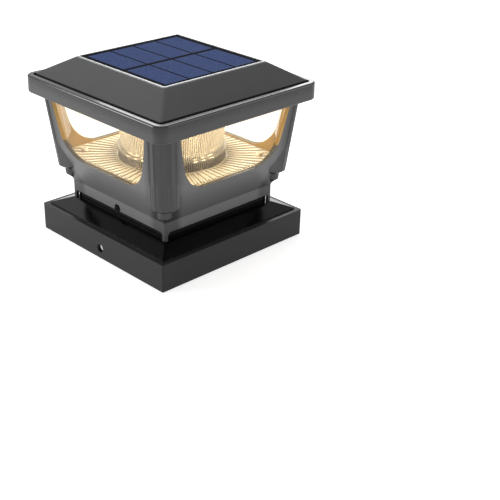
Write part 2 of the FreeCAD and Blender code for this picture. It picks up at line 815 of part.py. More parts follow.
def make_roof():
    skirt_z = seal_z + seal_height
    radius = roof_edge_radius
    skirt = square_prism(roof_low_half, radius, skirt_z, roof_low_z - skirt_z)
    pyramid = Part.makeLoft([square_wire(roof_low_half, radius, roof_low_z),
                             square_wire(roof_top_half, radius, roof_high_z)], True, True)
    roof = joined([skirt, pyramid])
    inner_low = roof_low_half - roof_wall
    slope = roof_height / (roof_low_half - roof_top_half)
    under_z = pocket_z - roof_wall
    inner_high = inner_low - (under_z - roof_low_z + roof_wall * 0.4) / slope
    inner_skirt = square_prism(inner_low, radius, skirt_z, roof_low_z - roof_wall * 0.4 - skirt_z)
    inner_pyramid = Part.makeLoft([square_wire(inner_low, radius, roof_low_z - roof_wall * 0.4),
                                   square_wire(inner_high, radius, under_z)], True, True)
    roof = roof.cut(inner_skirt).cut(inner_pyramid)
    roof = roof.cut(square_prism(pocket_half, radius, pocket_z, pocket_depth + 1))
    boss_top = pocket_z - roof_wall / 2
    bosses = [rod(roof_boss_radius, rim_floor_z, boss_top - rim_floor_z, x, y)
              for x, y in roof_screw_places()]
    limit = Part.makeLoft([square_wire(roof_low_half - 1, radius, rim_floor_z),
                           square_wire(roof_low_half - 1, radius, roof_low_z - 1),
                           square_wire(roof_top_half - 1, radius, roof_high_z - 1)], True, True)
    roof = joined([roof] + [boss.common(limit) for boss in bosses])
    pilots = [rod(small_screw_radius + screw_gap, rim_floor_z, roof_screw_length, x, y)
              for x, y in roof_screw_places()]
    for pilot in pilots:
        roof = roof.cut(pilot)
    return roof.cut(rod(wire_hole_radius - 1, under_z, roof_wall)).removeSplitter()


# ---- solar panel ----

def make_bezel():
    z = bezel_top_z() - bezel_height
    block = square_prism(bezel_half, roof_edge_radius, z, bezel_height)
    block = block.makeChamfer(bezel_chamfer, top_edges(block, bezel_top_z()))
    hole = square_prism(bezel_half - bezel_width, roof_edge_radius / 2, z, bezel_height)
    return block.cut(hole)


def bezel_top_z():
    return roof_high_z + bezel_proud


def make_backing():
    plate = square_prism(panel_half, roof_edge_radius / 2, pocket_z, backing_thickness)
    return plate


def make_cells():
    z = pocket_z + backing_thickness
    pitch = 2 * cell_area_half / cells_along
    cells = []
    for side in (-1, 1):
        for index in range(cells_along):
            y0 = -cell_area_half + pitch * index + cell_gap / 2
            y1 = y0 + pitch - cell_gap
            x0, x1 = sorted((side * bus_gap / 2, side * cell_area_half))
            cells.append(box(x0, x1, y0, y1, z, z + cell_thickness))
    return Part.makeCompound(cells)


def make_sheet():
    z = pocket_z + backing_thickness + cell_thickness
    return square_prism(panel_half, roof_edge_radius / 2, z, sheet_thickness)


# ---- electronics tray, battery, board and switch ----

def make_tray():
    flange_half = neck_inner_half - flange_gap
    shell = square_prism(tray_half, tray_radius, tray_z, tray_height + flange_thickness)
    flange = square_prism(flange_half, skirt_edge, tray_top_z, flange_thickness)
    bosses = [rod(tray_boss_radius, tray_top_z - tray_boss_height, tray_boss_height, x, y)
              for x, y in corners(floor_screw_place)]
    tray = joined([shell, flange] + bosses)
    inner = square_prism(tray_inner_half, tray_radius - tray_wall / 2, tray_floor_z,
                         tray_height + flange_thickness)
    tray = tray.cut(inner)
    posts = [rod(board_post_radius, tray_floor_z - tray_wall / 2, board_lift + tray_wall / 2, x, y)
             for x, y in board_screw_places()]
    posts += [rod(door_boss_radius, tray_floor_z - tray_wall / 2, door_boss_height, x, y)
              for x, y in door_screw_places()]
    tray = joined([tray] + posts)
    holes = [rod(small_screw_radius + screw_gap, tray_top_z - tray_boss_height + 1,
                 tray_boss_height + flange_thickness, x, y) for x, y in corners(floor_screw_place)]
    holes += [rod(small_screw_radius + screw_gap, board_z - 5, 5, x, y) for x, y in board_screw_places()]
    holes += [rod(small_screw_radius + screw_gap, tray_z, door_boss_height - 0.8, x, y)
              for x, y in door_screw_places()]
    holes.append(rod(button_radius + button_gap, tray_z, tray_wall, button_x, board_y))
    half_length, half_width = door_opening_length / 2, door_opening_width / 2
    holes.append(box(-half_length, half_length, battery_y - half_width, battery_y + half_width,
                     tray_z, tray_floor_z))
    for hole in holes:
        tray = tray.cut(hole)
    return tray.removeSplitter()


def board_screw_places():
    return [(x, board_y + y) for x in (-board_screw_x, board_screw_x)
            for y in (-board_screw_y, board_screw_y)]


def door_screw_places():
    place = door_opening_width / 2 + door_margin / 2
    return [(x, battery_y + y) for x in (-door_screw_x, door_screw_x) for y in (-place, place)]


def make_battery():
    start = -(battery_length + nub_length) / 2 + 1.0
    can = Part.makeCylinder(battery_radius, battery_length,
                            Vector(start, battery_y, battery_z), Vector(1, 0, 0))
    nub = Part.makeCylinder(nub_radius, nub_length,
                            Vector(start + battery_length, battery_y, battery_z), Vector(1, 0, 0))
    return can.fuse(nub).removeSplitter()


def battery_ends():
    start = -(battery_length + nub_length) / 2 + 1.0
    return start, start + battery_length + nub_length


def make_contacts():
    """A flat plate for the nub and a bowed leaf for the other end, each standing against the tray's wall."""
    low_end, high_end = battery_ends()
    half = contact_width / 2
    wall = tray_inner_half
    height = contact_reach
    plate = box(wall - contact_thickness, wall, battery_y - half, battery_y + half,
                battery_z - height, battery_z + height)
    dimple_length = wall - contact_thickness - high_end - battery_end_gap
    dimple = Part.makeCylinder(nub_radius * 0.7, dimple_length,
                               Vector(high_end + battery_end_gap, battery_y, battery_z), Vector(1, 0, 0))
    plate = plate.fuse(dimple).removeSplitter()
    tip = low_end - battery_end_gap
    outer = [(-wall, -height), (-wall, height), (-wall + contact_thickness, height),
             (-wall + contact_thickness, height * 0.8), (tip, contact_thickness),
             (tip, -contact_thickness), (-wall + contact_thickness, -height * 0.8),
             (-wall + contact_thickness, -height)]
    points = [Vector(x, battery_y - half, battery_z + z) for x, z in outer]
    leaf = Part.Face(Part.makePolygon(points + [points[0]])).extrude(Vector(0, contact_width, 0))
    inside = [(-wall + contact_thickness, height * 0.8 - 2 * contact_thickness),
              (tip - contact_thickness, 0.3),
              (tip - contact_thickness, -0.3),
              (-wall + contact_thickness, -height * 0.8 + 2 * contact_thickness)]
    gap = [Vector(x, battery_y - half, battery_z + z) for x, z in inside]
    space = Part.Face(Part.makePolygon(gap + [gap[0]])).extrude(Vector(0, contact_width, 0))
    return Part.makeCompound([plate, leaf.cut(space)])


def door_half_sizes():
    length = min(door_opening_length / 2 + door_margin, tray_half - 0.3)
    return length, door_opening_width / 2 + door_margin


def make_door_seal():
    half_length, half_width = door_half_sizes()
    z0, z1 = tray_z - door_seal_thickness, tray_z
    seal = box(-half_length, half_length, battery_y - half_width, battery_y + half_width, z0, z1)
    inner = box(-door_opening_length / 2, door_opening_length / 2, battery_y - door_opening_width / 2,
                battery_y + door_opening_width / 2, z0, z1)
    holes = [rod(small_screw_radius + clearance_gap, z0, door_seal_thickness, x, y)
             for x, y in door_screw_places()]
    return seal.cut(inner).cut(Part.makeCompound(holes))


def make_door():
    half_length, half_width = door_half_sizes()
    z1 = tray_z - door_seal_thickness
    z0 = z1 - door_thickness
    plate = box(-half_length, half_length, battery_y - half_width, battery_y + half_width, z0, z1)
    gap = door_plug_gap
    plug = box(-door_opening_length / 2 + gap, door_opening_length / 2 - gap,
               battery_y - door_opening_width / 2 + gap, battery_y + door_opening_width / 2 - gap,
               z1, tray_floor_z)
    saddle = box(-door_opening_length / 4, door_opening_length / 4, battery_y - 3, battery_y + 3,
                 tray_floor_z, tray_floor_z + battery_lift + 1)
    can = Part.makeCylinder(battery_radius + 0.1, door_opening_length,
                            Vector(-door_opening_length / 2, battery_y, battery_z), Vector(1, 0, 0))
    door = joined([plate, plug, saddle.cut(can)])
    holes = [rod(small_screw_radius + clearance_gap, z0, door_thickness, x, y)
             for x, y in door_screw_places()]
    return door.cut(Part.makeCompound(holes))


def make_board():
    z = board_z
    plate = box(-board_length / 2, board_length / 2, board_y - board_width / 2, board_y + board_width / 2,
                z, z + board_thickness)
    holes = [rod(small_screw_radius + screw_gap, z, board_thickness, x, y) for x, y in board_screw_places()]
    return plate.cut(Part.makeCompound(holes))


def make_board_parts():
    """Controller chip, choke and capacitor on the board's upper face."""
    z = board_z + board_thickness
    chip_x, chip_y = chip_place[0], board_y + chip_place[1]
    chip = box(chip_x, chip_x + chip_length, chip_y, chip_y + chip_width, z, z + chip_height)
    choke = rod(choke_radius, z, choke_height, choke_place[0], board_y + choke_place[1])
    capacitor = rod(capacitor_radius, z, capacitor_height, capacitor_place[0], board_y + capacitor_place[1])
    return Part.makeCompound([chip, choke, capacitor])


def make_switch():
    z = switch_z
    half = switch_side / 2
    case = box(button_x - half, button_x + half, board_y - half, board_y + half, z, board_z)
    depth = stem_top_z() + button_travel + 0.3 - z
    return case.cut(rod(stem_radius + stem_gap, z, depth, button_x, board_y))


def stem_top_z():
    return switch_z + 1.8


def make_button():
    cap = rod(button_radius, tray_z - button_proud, button_flange_z - tray_z + button_proud,
              button_x, board_y)
    cap = cap.makeFillet(button_radius * 0.15, top_edges(cap, tray_z - button_proud))
    flange = rod(button_radius + button_flange, button_flange_z, button_flange_thickness, button_x, board_y)
    stem_z = button_flange_z + button_flange_thickness
    stem = rod(stem_radius, stem_z, stem_top_z() - stem_z, button_x, board_y)
    return joined([cap, flange, stem])


# ---- wires ----

def wire_along(points, radius):
    """A round wire of straight runs joined by tangent arcs."""
    places = [Vector(*p) for p in points]
    edges = []
    start = places[0]
    for before, here, after in zip(places, places[1:], places[2:]):
        back, ahead = before - here, after - here
        turn = math.pi - back.getAngle(ahead)
        trim = 0.45 * min(back.Length, ahead.Length)
        first = here + back.normalize() * trim
        last = here + ahead.normalize() * trim
        middle_direction = ((first + last) * 0.5 - here).normalize()
        bend = trim / math.tan(turn / 2)
        from_corner = bend / math.cos(turn / 2) - bend
        edges.append(Part.LineSegment(start, first).toShape())
        edges.append(Part.Arc(first, here + middle_direction * from_corner, last).toShape())
        start = last
    edges.append(Part.LineSegment(start, places[-1]).toShape())
    path = Part.Wire(edges)
    heading = (places[1] - places[0]).normalize()
    section = Part.Wire(Part.makeCircle(radius, places[0], heading))
    wire = path.makePipeShell([section], True, False)
    expected = math.pi * radius ** 2 * path.Length
    print(f"  wire of {path.Length:.0f} mm, volume {wire.Volume / expected:.3f} of its length times section")
    return wire


def make_panel_leads():
    """From the panel's back down through the drum to the board."""
    under = pocket_z
    top = board_z + board_thickness
    routes = []
    for side in (-1, 1):
        x = 1.5 * side
        routes.append([(x, 2.0, under), (x, 2.0, under - 8), (x + 1.5, -2.0, under - 20),
                       (x + 1, -2.5, under - 32), (x - 1, 1.0, under - 44), (x - 3, 5.0, top + 8),
                       (x - 3.5, 7.5, top + 4), (x - 3.5, 7.5, top)])
    return Part.makeCompound([wire_along(route, wire_radius) for route in routes])


def lead_height():
    return hub_z + strip_height / 2 + 0.6


def make_led_leads():
    """From the board up into the hub and out to a lamp strip."""
    top = board_z + board_thickness
    routes = []
    for side in (-1, 1):
        y = 0.9 * side
        routes.append([(4 + y, 9.0, top), (4 + y, 9.0, top + 4), (2.2, y, cavity_z - 3),
                       (3.2, y, lead_height()), (hub_half, y, lead_height())])
    return Part.makeCompound([wire_along(route, wire_radius) for route in routes])


def make_battery_leads():
    """From the top edge of each contact over the cell's end to the board."""
    top = board_z + board_thickness
    routes = []
    for side in (-1, 1):
        x = tray_inner_half - contact_thickness - 0.3
        y = battery_y + 2
        z = battery_z + contact_reach
        points = [(x, y, z), (x, y, z + 2.4), (x - 2.6, y + 7.5, z + 3.0), (x - 8, y + 18.5, z + 2.4),
                  (x - 10, board_y, top + 4), (x - 10, board_y, top)]
        routes.append([(side * px, py, pz) for px, py, pz in points])
    return Part.makeCompound([wire_along(route, wire_radius) for route in routes])


def make_screws(places, head_z, length, point):
    return Part.makeCompound([screw(x, y, head_z, length, point=point) for x, y in places])


def make_drum_screws():
    length = rim_floor + ceiling_thickness + drum_flange_thickness - 0.4
    one = screw(drum_screw_circle, 0, rim_floor_z, length)
    return Part.makeCompound(around(one, drum_screw_count))


os.makedirs("parts", exist_ok=True)
save("post_base", make_base())
save("lantern_body", make_body())
save("neck_screws", make_neck_screws())
save("window_insert", make_insert())
save("ribbed_floor", make_floor())
save("floor_screws", make_screws(corners(floor_screw_place), floor_top_z,
                                 floor_thickness + flange_thickness + tray_boss_height - 2, -1))
save("reflector_drum", make_drum())
save("drum_screws", make_drum_screws())
save("lamp_hub", make_hub())
save("hub_screws", make_screws(hub_screw_places(), cavity_z, floor_thickness + hub_screw_depth - 0.4, 1))
save("led_strips", make_strips())
save("leds", make_leds())
save("ceiling_plate", make_ceiling())
save("roof_rim", make_rim())
save("body_screws", make_screws(corners(body_screw_place), rim_floor_z, rim_floor + body_screw_length, -1))
save("roof_seal", make_seal())
save("roof_cover", make_roof())
save("roof_screws", make_screws(roof_screw_places(), rim_z + roof_screw_sink,
                                rim_floor - roof_screw_sink + roof_screw_length - 0.5, 1))
save("panel_bezel", make_bezel())
save("panel_backing", make_backing())
save("solar_cells", make_cells())
save("panel_sheet", make_sheet())
save("electronics_tray", make_tray())
save("battery", make_battery())
save("battery_contacts", make_contacts())
save("battery_door", make_door())
save("door_seal", make_door_seal())
save("door_screws", make_screws(door_screw_places(), tray_z - door_seal_thickness - door_thickness,
                                door_thickness + door_seal_thickness + door_boss_height - 1.2, 1))
save("circuit_board", make_board())
save("board_parts", make_board_parts())
save("board_screws", make_screws(board_screw_places(), board_z + board_thickness,
                                 board_thickness + board_screw_grip, -1))
save("power_switch", make_switch())
save("power_button", make_button())
save("panel_leads", make_panel_leads())
save("led_leads", make_led_leads())
save("battery_leads", make_battery_leads())
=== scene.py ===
import bpy
import bmesh
import math
from mathutils import Matrix, Vector


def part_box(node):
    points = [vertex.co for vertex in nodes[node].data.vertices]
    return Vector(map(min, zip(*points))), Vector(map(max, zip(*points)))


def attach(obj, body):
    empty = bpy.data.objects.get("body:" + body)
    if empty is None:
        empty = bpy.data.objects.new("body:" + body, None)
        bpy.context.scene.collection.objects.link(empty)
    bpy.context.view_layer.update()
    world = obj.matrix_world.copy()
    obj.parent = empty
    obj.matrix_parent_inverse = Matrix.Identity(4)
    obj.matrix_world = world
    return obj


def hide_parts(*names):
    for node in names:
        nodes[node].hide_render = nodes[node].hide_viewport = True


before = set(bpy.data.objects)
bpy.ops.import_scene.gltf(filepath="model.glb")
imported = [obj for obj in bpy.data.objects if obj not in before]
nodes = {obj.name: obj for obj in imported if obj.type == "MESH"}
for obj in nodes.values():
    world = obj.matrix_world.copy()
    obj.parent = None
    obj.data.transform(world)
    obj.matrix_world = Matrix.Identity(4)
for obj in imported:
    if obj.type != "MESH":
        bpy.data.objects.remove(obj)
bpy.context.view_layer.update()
scene = bpy.context.scene
mm = 0.001
print("frame loaded:", len(nodes), "nodes")


# camera, matched to the photograph's viewing angle
cameraSettings = {
    "place": (0.35346, -0.30531, 0.22731),
    "heading": 0.7713,   # radians from +Y towards -X
    "pitch": 0.4720,     # radians downwards
    "roll": 0.0311,
    "lens": 71.37,
}


def makeCamera(settings):
    h, p, r = settings["heading"], settings["pitch"], settings["roll"]
    forward = Vector((-math.sin(h) * math.cos(p), math.cos(h) * math.cos(p), -math.sin(p)))
    level = Vector((math.cos(h), math.sin(h), 0))
    upright = level.cross(forward)
    right = math.cos(r) * level + math.sin(r) * upright
    up = math.cos(r) * upright - math.sin(r) * level
    data = bpy.data.cameras.new("camera")
    data.lens = settings["lens"]
    data.sensor_width = 36
    data.clip_start = 0.01
    camera = bpy.data.objects.new("camera", data)
    turn = Matrix((right, up, -forward)).transposed().to_4x4()
    camera.matrix_world = Matrix.Translation(settings["place"]) @ turn
    scene.collection.objects.link(camera)
    scene.camera = camera


makeCamera(cameraSettings)


# materials
def hexToLinear(code):
    values = [int(code[i:i + 2], 16) / 255 for i in (1, 3, 5)]
    return tuple(v / 12.92 if v <= 0.04045 else ((v + 0.055) / 1.055) ** 2.4 for v in values) + (1,)


# adds a node with its settings; an input is a value or a (node, output) link
def addNode(tree, kind, settings=None, inputs=None):
    node = tree.nodes.new(kind)
    for name, value in (settings or {}).items():
        setattr(node, name, value)
    for name, value in (inputs or {}).items():
        if isinstance(value, tuple) and len(value) == 2 and isinstance(value[0], bpy.types.Node):
            tree.links.new(value[0].outputs[value[1]], node.inputs[name])
        else:
            node.inputs[name].default_value = value
    return node


def newMaterial(name):
    material = bpy.data.materials.new(name)
    material.use_nodes = True
    material.node_tree.nodes.clear()
    return material, material.node_tree


def endMaterial(tree, shader):
    output = addNode(tree, "ShaderNodeOutputMaterial")
    tree.links.new(shader.outputs[0], output.inputs["Surface"])


def mixShaders(tree, share, first, second):
    mix = addNode(tree, "ShaderNodeMixShader", {}, {0: share})
    tree.links.new(first.outputs[0], mix.inputs[1])
    tree.links.new(second.outputs[0], mix.inputs[2])
    return mix


def colourRamp(tree, source, stops):
    ramp = addNode(tree, "ShaderNodeValToRGB", {}, {"Fac": source})
    elements = ramp.color_ramp.elements
    while len(elements) < len(stops):
        elements.new(0.5)
    for element, (place, colour) in zip(elements, stops):
        element.position = place
        element.color = hexToLinear(colour)
    return ramp


# moulded plastic: spark-eroded grain, slightly uneven gloss and soft edges that catch the light
def mouldedPlastic(name, colours, roughness, grainMm, bumpMm, edgeMm=0.25, ior=1.5):
    material, tree = newMaterial(name)
    place = addNode(tree, "ShaderNodeTexCoord")
    grain = addNode(tree, "ShaderNodeTexNoise", {}, {
        "Vector": (place, "Object"), "Scale": 1 / (grainMm * mm), "Detail": 3.0, "Roughness": 0.6})
    flow = addNode(tree, "ShaderNodeTexNoise", {}, {
        "Vector": (place, "Object"), "Scale": 70.0, "Detail": 4.0, "Roughness": 0.55})
    tint = colourRamp(tree, (flow, "Fac"), [(0.35, colours[0]), (0.7, colours[1])])
    gloss = addNode(tree, "ShaderNodeMapRange", {}, {
        "Value": (grain, "Fac"), "From Min": 0.3, "From Max": 0.7,
        "To Min": roughness - 0.05, "To Max": roughness + 0.05})
    edge = addNode(tree, "ShaderNodeBevel", {"samples": 4}, {"Radius": edgeMm * mm})
    bump = addNode(tree, "ShaderNodeBump", {}, {
        "Height": (grain, "Fac"), "Distance": bumpMm * mm, "Strength": 0.6, "Normal": (edge, "Normal")})
    shader = addNode(tree, "ShaderNodeBsdfPrincipled", {}, {
        "Base Color": (tint, "Color"), "Roughness": (gloss, "Result"), "Normal": (bump, "Normal"),
        "IOR": ior})
    endMaterial(tree, shader)
    return material


# moulded black that is satin below and polished above, with painted shade: its colour darkens from the lower
# to the upper height, standing in for darker reflection and shade up there; colours, roughnesses and heights
# go low to high
def paintedShadeBlackAbs(name, colours, roughnesses, heights, ior):
    material, tree = newMaterial(name)
    place = addNode(tree, "ShaderNodeTexCoord")
    split = addNode(tree, "ShaderNodeSeparateXYZ", {}, {"Vector": (place, "Object")})
    above = addNode(tree, "ShaderNodeMapRange", {}, {
        "Value": (split, "Z"), "From Min": heights[0], "From Max": heights[1]})
    grain = addNode(tree, "ShaderNodeTexNoise", {}, {
        "Vector": (place, "Object"), "Scale": 1 / (0.5 * mm), "Detail": 3.0, "Roughness": 0.6})
    # painted shade: the colour darkens from the low colour to the high one across the heights
    tint = addNode(tree, "ShaderNodeMix", {"data_type": "RGBA"}, {
        "Factor": (above, "Result"), 6: hexToLinear(colours[0]), 7: hexToLinear(colours[1])})
    gloss = addNode(tree, "ShaderNodeMapRange", {}, {
        "Value": (above, "Result"), "To Min": roughnesses[0], "To Max": roughnesses[1]})
    edge = addNode(tree, "ShaderNodeBevel", {"samples": 4}, {"Radius": 0.15 * mm})
    bump = addNode(tree, "ShaderNodeBump", {}, {
        "Height": (grain, "Fac"), "Distance": 0.01 * mm, "Strength": 0.5, "Normal": (edge, "Normal")})
    shader = addNode(tree, "ShaderNodeBsdfPrincipled", {}, {
        "Base Color": (tint, 2), "Roughness": (gloss, "Result"), "Normal": (bump, "Normal"), "IOR": ior})
    endMaterial(tree, shader)
    return material


# reflection at a clear surface, only where light comes from outside it
def outerSheen(tree, ior, bump):
    sheen = addNode(tree, "ShaderNodeFresnel", {}, {"IOR": ior, "Normal": (bump, "Normal")})
    side = addNode(tree, "ShaderNodeNewGeometry")
    front = addNode(tree, "ShaderNodeMath", {"operation": "SUBTRACT"}, {0: 1.0, 1: (side, "Backfacing")})
    return addNode(tree, "ShaderNodeMath", {"operation": "MULTIPLY"}, {0: (sheen, "Fac"), 1: (front, 0)})


# clear moulding, thin enough that nothing behind it shifts: a faint even sheen, stronger at a slant
def clearPlastic(name, colour, roughness, ior):
    material, tree = newMaterial(name)
    place = addNode(tree, "ShaderNodeTexCoord")
    flow = addNode(tree, "ShaderNodeTexNoise", {}, {
        "Vector": (place, "Object"), "Scale": 45.0, "Detail": 1.0})
    bump = addNode(tree, "ShaderNodeBump", {}, {
        "Height": (flow, "Fac"), "Distance": 0.06 * mm, "Strength": 0.3})
    sheen = outerSheen(tree, ior, bump)
    through = addNode(tree, "ShaderNodeBsdfTransparent", {}, {"Color": hexToLinear(colour)})
    gloss = addNode(tree, "ShaderNodeBsdfGlossy", {}, {"Roughness": roughness, "Normal": (bump, "Normal")})
    endMaterial(tree, mixShaders(tree, (sheen, 0), through, gloss))
    return material


# ribbed lamp optic: polycarbonate, milky above and clear at its foot, with painted shade darkening its
# grooves
def milkyOptic(name, colour, paintedGrooveShade, grooves, clearBelow):
    material, tree = newMaterial(name)
    place = addNode(tree, "ShaderNodeTexCoord")
    split = addNode(tree, "ShaderNodeSeparateXYZ", {}, {"Vector": (place, "Object")})
    angle = addNode(tree, "ShaderNodeMath", {"operation": "ARCTAN2"}, {0: (split, "Y"), 1: (split, "X")})
    swing = addNode(tree, "ShaderNodeMath", {"operation": "MULTIPLY"}, {0: (angle, 0), 1: grooves / 2})
    wave = addNode(tree, "ShaderNodeMath", {"operation": "SINE"}, {0: (swing, 0)})
    crest = addNode(tree, "ShaderNodeMath", {"operation": "ABSOLUTE"}, {0: (wave, 0)})
    # painted shade: darker where the reeds' hollows lie
    tint = colourRamp(tree, (crest, 0), [(0.1, paintedGrooveShade), (0.75, colour)])
    haze = addNode(tree, "ShaderNodeTexNoise", {}, {
        "Vector": (place, "Object"), "Scale": 220.0, "Detail": 2.0})
    rough = addNode(tree, "ShaderNodeMapRange", {}, {
        "Value": (haze, "Fac"), "To Min": 0.12, "To Max": 0.3})
    clear = addNode(tree, "ShaderNodeMapRange", {}, {
        "Value": (split, "Z"), "From Min": clearBelow, "From Max": clearBelow + 2 * mm,
        "To Min": 0.6, "To Max": 0.45})
    glass = addNode(tree, "ShaderNodeBsdfPrincipled", {}, {
        "Base Color": (tint, "Color"), "Roughness": (rough, "Result"), "IOR": 1.2,
        "Transmission Weight": 1.0})
    milk = addNode(tree, "ShaderNodeBsdfPrincipled", {}, {
        "Base Color": (tint, "Color"), "Roughness": 0.3, "IOR": 1.45})
    veil = addNode(tree, "ShaderNodeBsdfTranslucent", {}, {"Color": (tint, "Color")})
    body = mixShaders(tree, 0.25, milk, veil)
    optic = mixShaders(tree, (clear, "Result"), body, glass)
    through = addNode(tree, "ShaderNodeBsdfTransparent", {}, {"Color": (0.85, 0.85, 0.85, 1)})
    path = addNode(tree, "ShaderNodeLightPath")
    endMaterial(tree, mixShaders(tree, (path, "Is Shadow Ray"), optic, through))
    return material


# satin black outside, with painted light: the walls are painted lighter than the corner pillars for the glow
# round the windows, and the inner walls round the lamps are painted gold, standing in for the lamps' warm
# light on them
def lampLitBlackAbs(name, glowLitWallColour, pillarColour, lampLitColour, low, high):
    material, tree = newMaterial(name)
    place = addNode(tree, "ShaderNodeTexCoord")
    flat = addNode(tree, "ShaderNodeVectorMath", {"operation": "MULTIPLY"}, {
        0: (place, "Object"), 1: (1, 1, 0)})
    outward = addNode(tree, "ShaderNodeVectorMath", {"operation": "NORMALIZE"}, {0: (flat, 0)})
    facing = addNode(tree, "ShaderNodeVectorMath", {"operation": "DOT_PRODUCT"}, {
        0: (outward, 0), 1: (place, "Normal")})
    inside = addNode(tree, "ShaderNodeMath", {"operation": "LESS_THAN"}, {0: (facing, "Value"), 1: -0.5})
    split = addNode(tree, "ShaderNodeSeparateXYZ", {}, {"Vector": (place, "Object")})
    above = addNode(tree, "ShaderNodeMath", {"operation": "GREATER_THAN"}, {0: (split, "Z"), 1: low})
    below = addNode(tree, "ShaderNodeMath", {"operation": "LESS_THAN"}, {0: (split, "Z"), 1: high})
    between = addNode(tree, "ShaderNodeMath", {"operation": "MULTIPLY"}, {0: (above, 0), 1: (below, 0)})
    lampLitMask = addNode(tree, "ShaderNodeMath", {"operation": "MULTIPLY"}, {0: (between, 0), 1: (inside, 0)})
    across = addNode(tree, "ShaderNodeMath", {"operation": "ABSOLUTE"}, {0: (split, "X")})
    along = addNode(tree, "ShaderNodeMath", {"operation": "ABSOLUTE"}, {0: (split, "Y")})
    small = addNode(tree, "ShaderNodeMath", {"operation": "MINIMUM"}, {0: (across, 0), 1: (along, 0)})
    large = addNode(tree, "ShaderNodeMath", {"operation": "MAXIMUM"}, {0: (across, 0), 1: (along, 0)})
    share = addNode(tree, "ShaderNodeMath", {"operation": "DIVIDE"}, {0: (small, 0), 1: (large, 0)})
    pillar = addNode(tree, "ShaderNodeMapRange", {}, {
        "Value": (share, 0), "From Min": 0.7, "From Max": 0.8})
    # painted glow: the walls take the lighter colour, the corner pillars the dark one
    outer = addNode(tree, "ShaderNodeMix", {"data_type": "RGBA"}, {
        "Factor": (pillar, "Result"), 6: hexToLinear(glowLitWallColour), 7: hexToLinear(pillarColour)})
    grain = addNode(tree, "ShaderNodeTexNoise", {}, {
        "Vector": (place, "Object"), "Scale": 1 / (0.5 * mm), "Detail": 3.0, "Roughness": 0.6})
    # painted lamplight: inner faces between the low and high heights take the gold
    tint = addNode(tree, "ShaderNodeMix", {"data_type": "RGBA"}, {
        "Factor": (lampLitMask, 0), 6: (outer, 2), 7: hexToLinear(lampLitColour)})
    gloss = addNode(tree, "ShaderNodeMapRange", {}, {
        "Value": (grain, "Fac"), "From Min": 0.3, "From Max": 0.7, "To Min": 0.32, "To Max": 0.42})
    edge = addNode(tree, "ShaderNodeBevel", {"samples": 4}, {"Radius": 0.3 * mm})
    bump = addNode(tree, "ShaderNodeBump", {}, {
        "Height": (grain, "Fac"), "Distance": 0.01 * mm, "Strength": 0.5, "Normal": (edge, "Normal")})
    shader = addNode(tree, "ShaderNodeBsdfPrincipled", {}, {
        "Base Color": (tint, 2), "Roughness": (gloss, "Result"), "Normal": (bump, "Normal"), "IOR": 1.53})
    endMaterial(tree, shader)
    return material


# metal with a faint drawn or plated grain
def grainedMetal(name, colour, roughness, grainMm):
    material, tree = newMaterial(name)
    place = addNode(tree, "ShaderNodeTexCoord")
    grain = addNode(tree, "ShaderNodeTexNoise", {}, {
        "Vector": (place, "Object"), "Scale": 1 / (grainMm * mm), "Detail": 2.0})
    gloss = addNode(tree, "ShaderNodeMapRange", {}, {
        "Value": (grain, "Fac"), "From Min": 0.3, "From Max": 0.7,
        "To Min": roughness - 0.06, "To Max": roughness + 0.06})
    bump = addNode(tree, "ShaderNodeBump", {}, {
        "Height": (grain, "Fac"), "Distance": 0.01 * mm, "Strength": 0.4})
    shader = addNode(tree, "ShaderNodeBsdfPrincipled", {}, {
        "Base Color": hexToLinear(colour), "Metallic": 1.0, "Roughness": (gloss, "Result"),
        "Normal": (bump, "Normal")})
    endMaterial(tree, shader)
    return material


# blue silicon under resin: mottled crystal and sawn edges that look black; the printed fingers,
# one every 1.8 mm, are finer than a pixel
def siliconCells(name, colours, fingerColour, edgeColour):
    material, tree = newMaterial(name)
    place = addNode(tree, "ShaderNodeTexCoord")
    mottle = addNode(tree, "ShaderNodeTexNoise", {}, {
        "Vector": (place, "Object"), "Scale": 900.0, "Detail": 4.0, "Roughness": 0.7})
    tint = colourRamp(tree, (mottle, "Fac"), [(0.35, colours[0]), (0.65, colours[1])])
    split = addNode(tree, "ShaderNodeSeparateXYZ", {}, {"Vector": (place, "Object")})
    wave = addNode(tree, "ShaderNodeMath", {"operation": "PINGPONG"}, {0: (split, "X"), 1: 0.9 * mm})
    line = addNode(tree, "ShaderNodeMath", {"operation": "LESS_THAN"}, {0: (wave, "Value"), 1: 0.05 * mm})
    colour = addNode(tree, "ShaderNodeMix", {"data_type": "RGBA"}, {
        "Factor": (line, "Value"), 6: (tint, "Color"), 7: hexToLinear(fingerColour)})
    tilt = addNode(tree, "ShaderNodeSeparateXYZ", {}, {"Vector": (place, "Normal")})
    face = addNode(tree, "ShaderNodeMath", {"operation": "GREATER_THAN"}, {0: (tilt, "Z"), 1: 0.5})
    edged = addNode(tree, "ShaderNodeMix", {"data_type": "RGBA"}, {
        "Factor": (face, 0), 6: hexToLinear(edgeColour), 7: (colour, 2)})
    shader = addNode(tree, "ShaderNodeBsdfPrincipled", {}, {
        "Base Color": (edged, 2), "Roughness": 0.6, "IOR": 1.03})
    endMaterial(tree, shader)
    return material


# lamp phosphor, glowing
def litPhosphor(name, colour, strength):
    material, tree = newMaterial(name)
    shader = addNode(tree, "ShaderNodeBsdfPrincipled", {}, {
        "Base Color": hexToLinear("#f6e2a0"), "Roughness": 0.5,
        "Emission Color": hexToLinear(colour), "Emission Strength": strength})
    endMaterial(tree, shader)
    return material


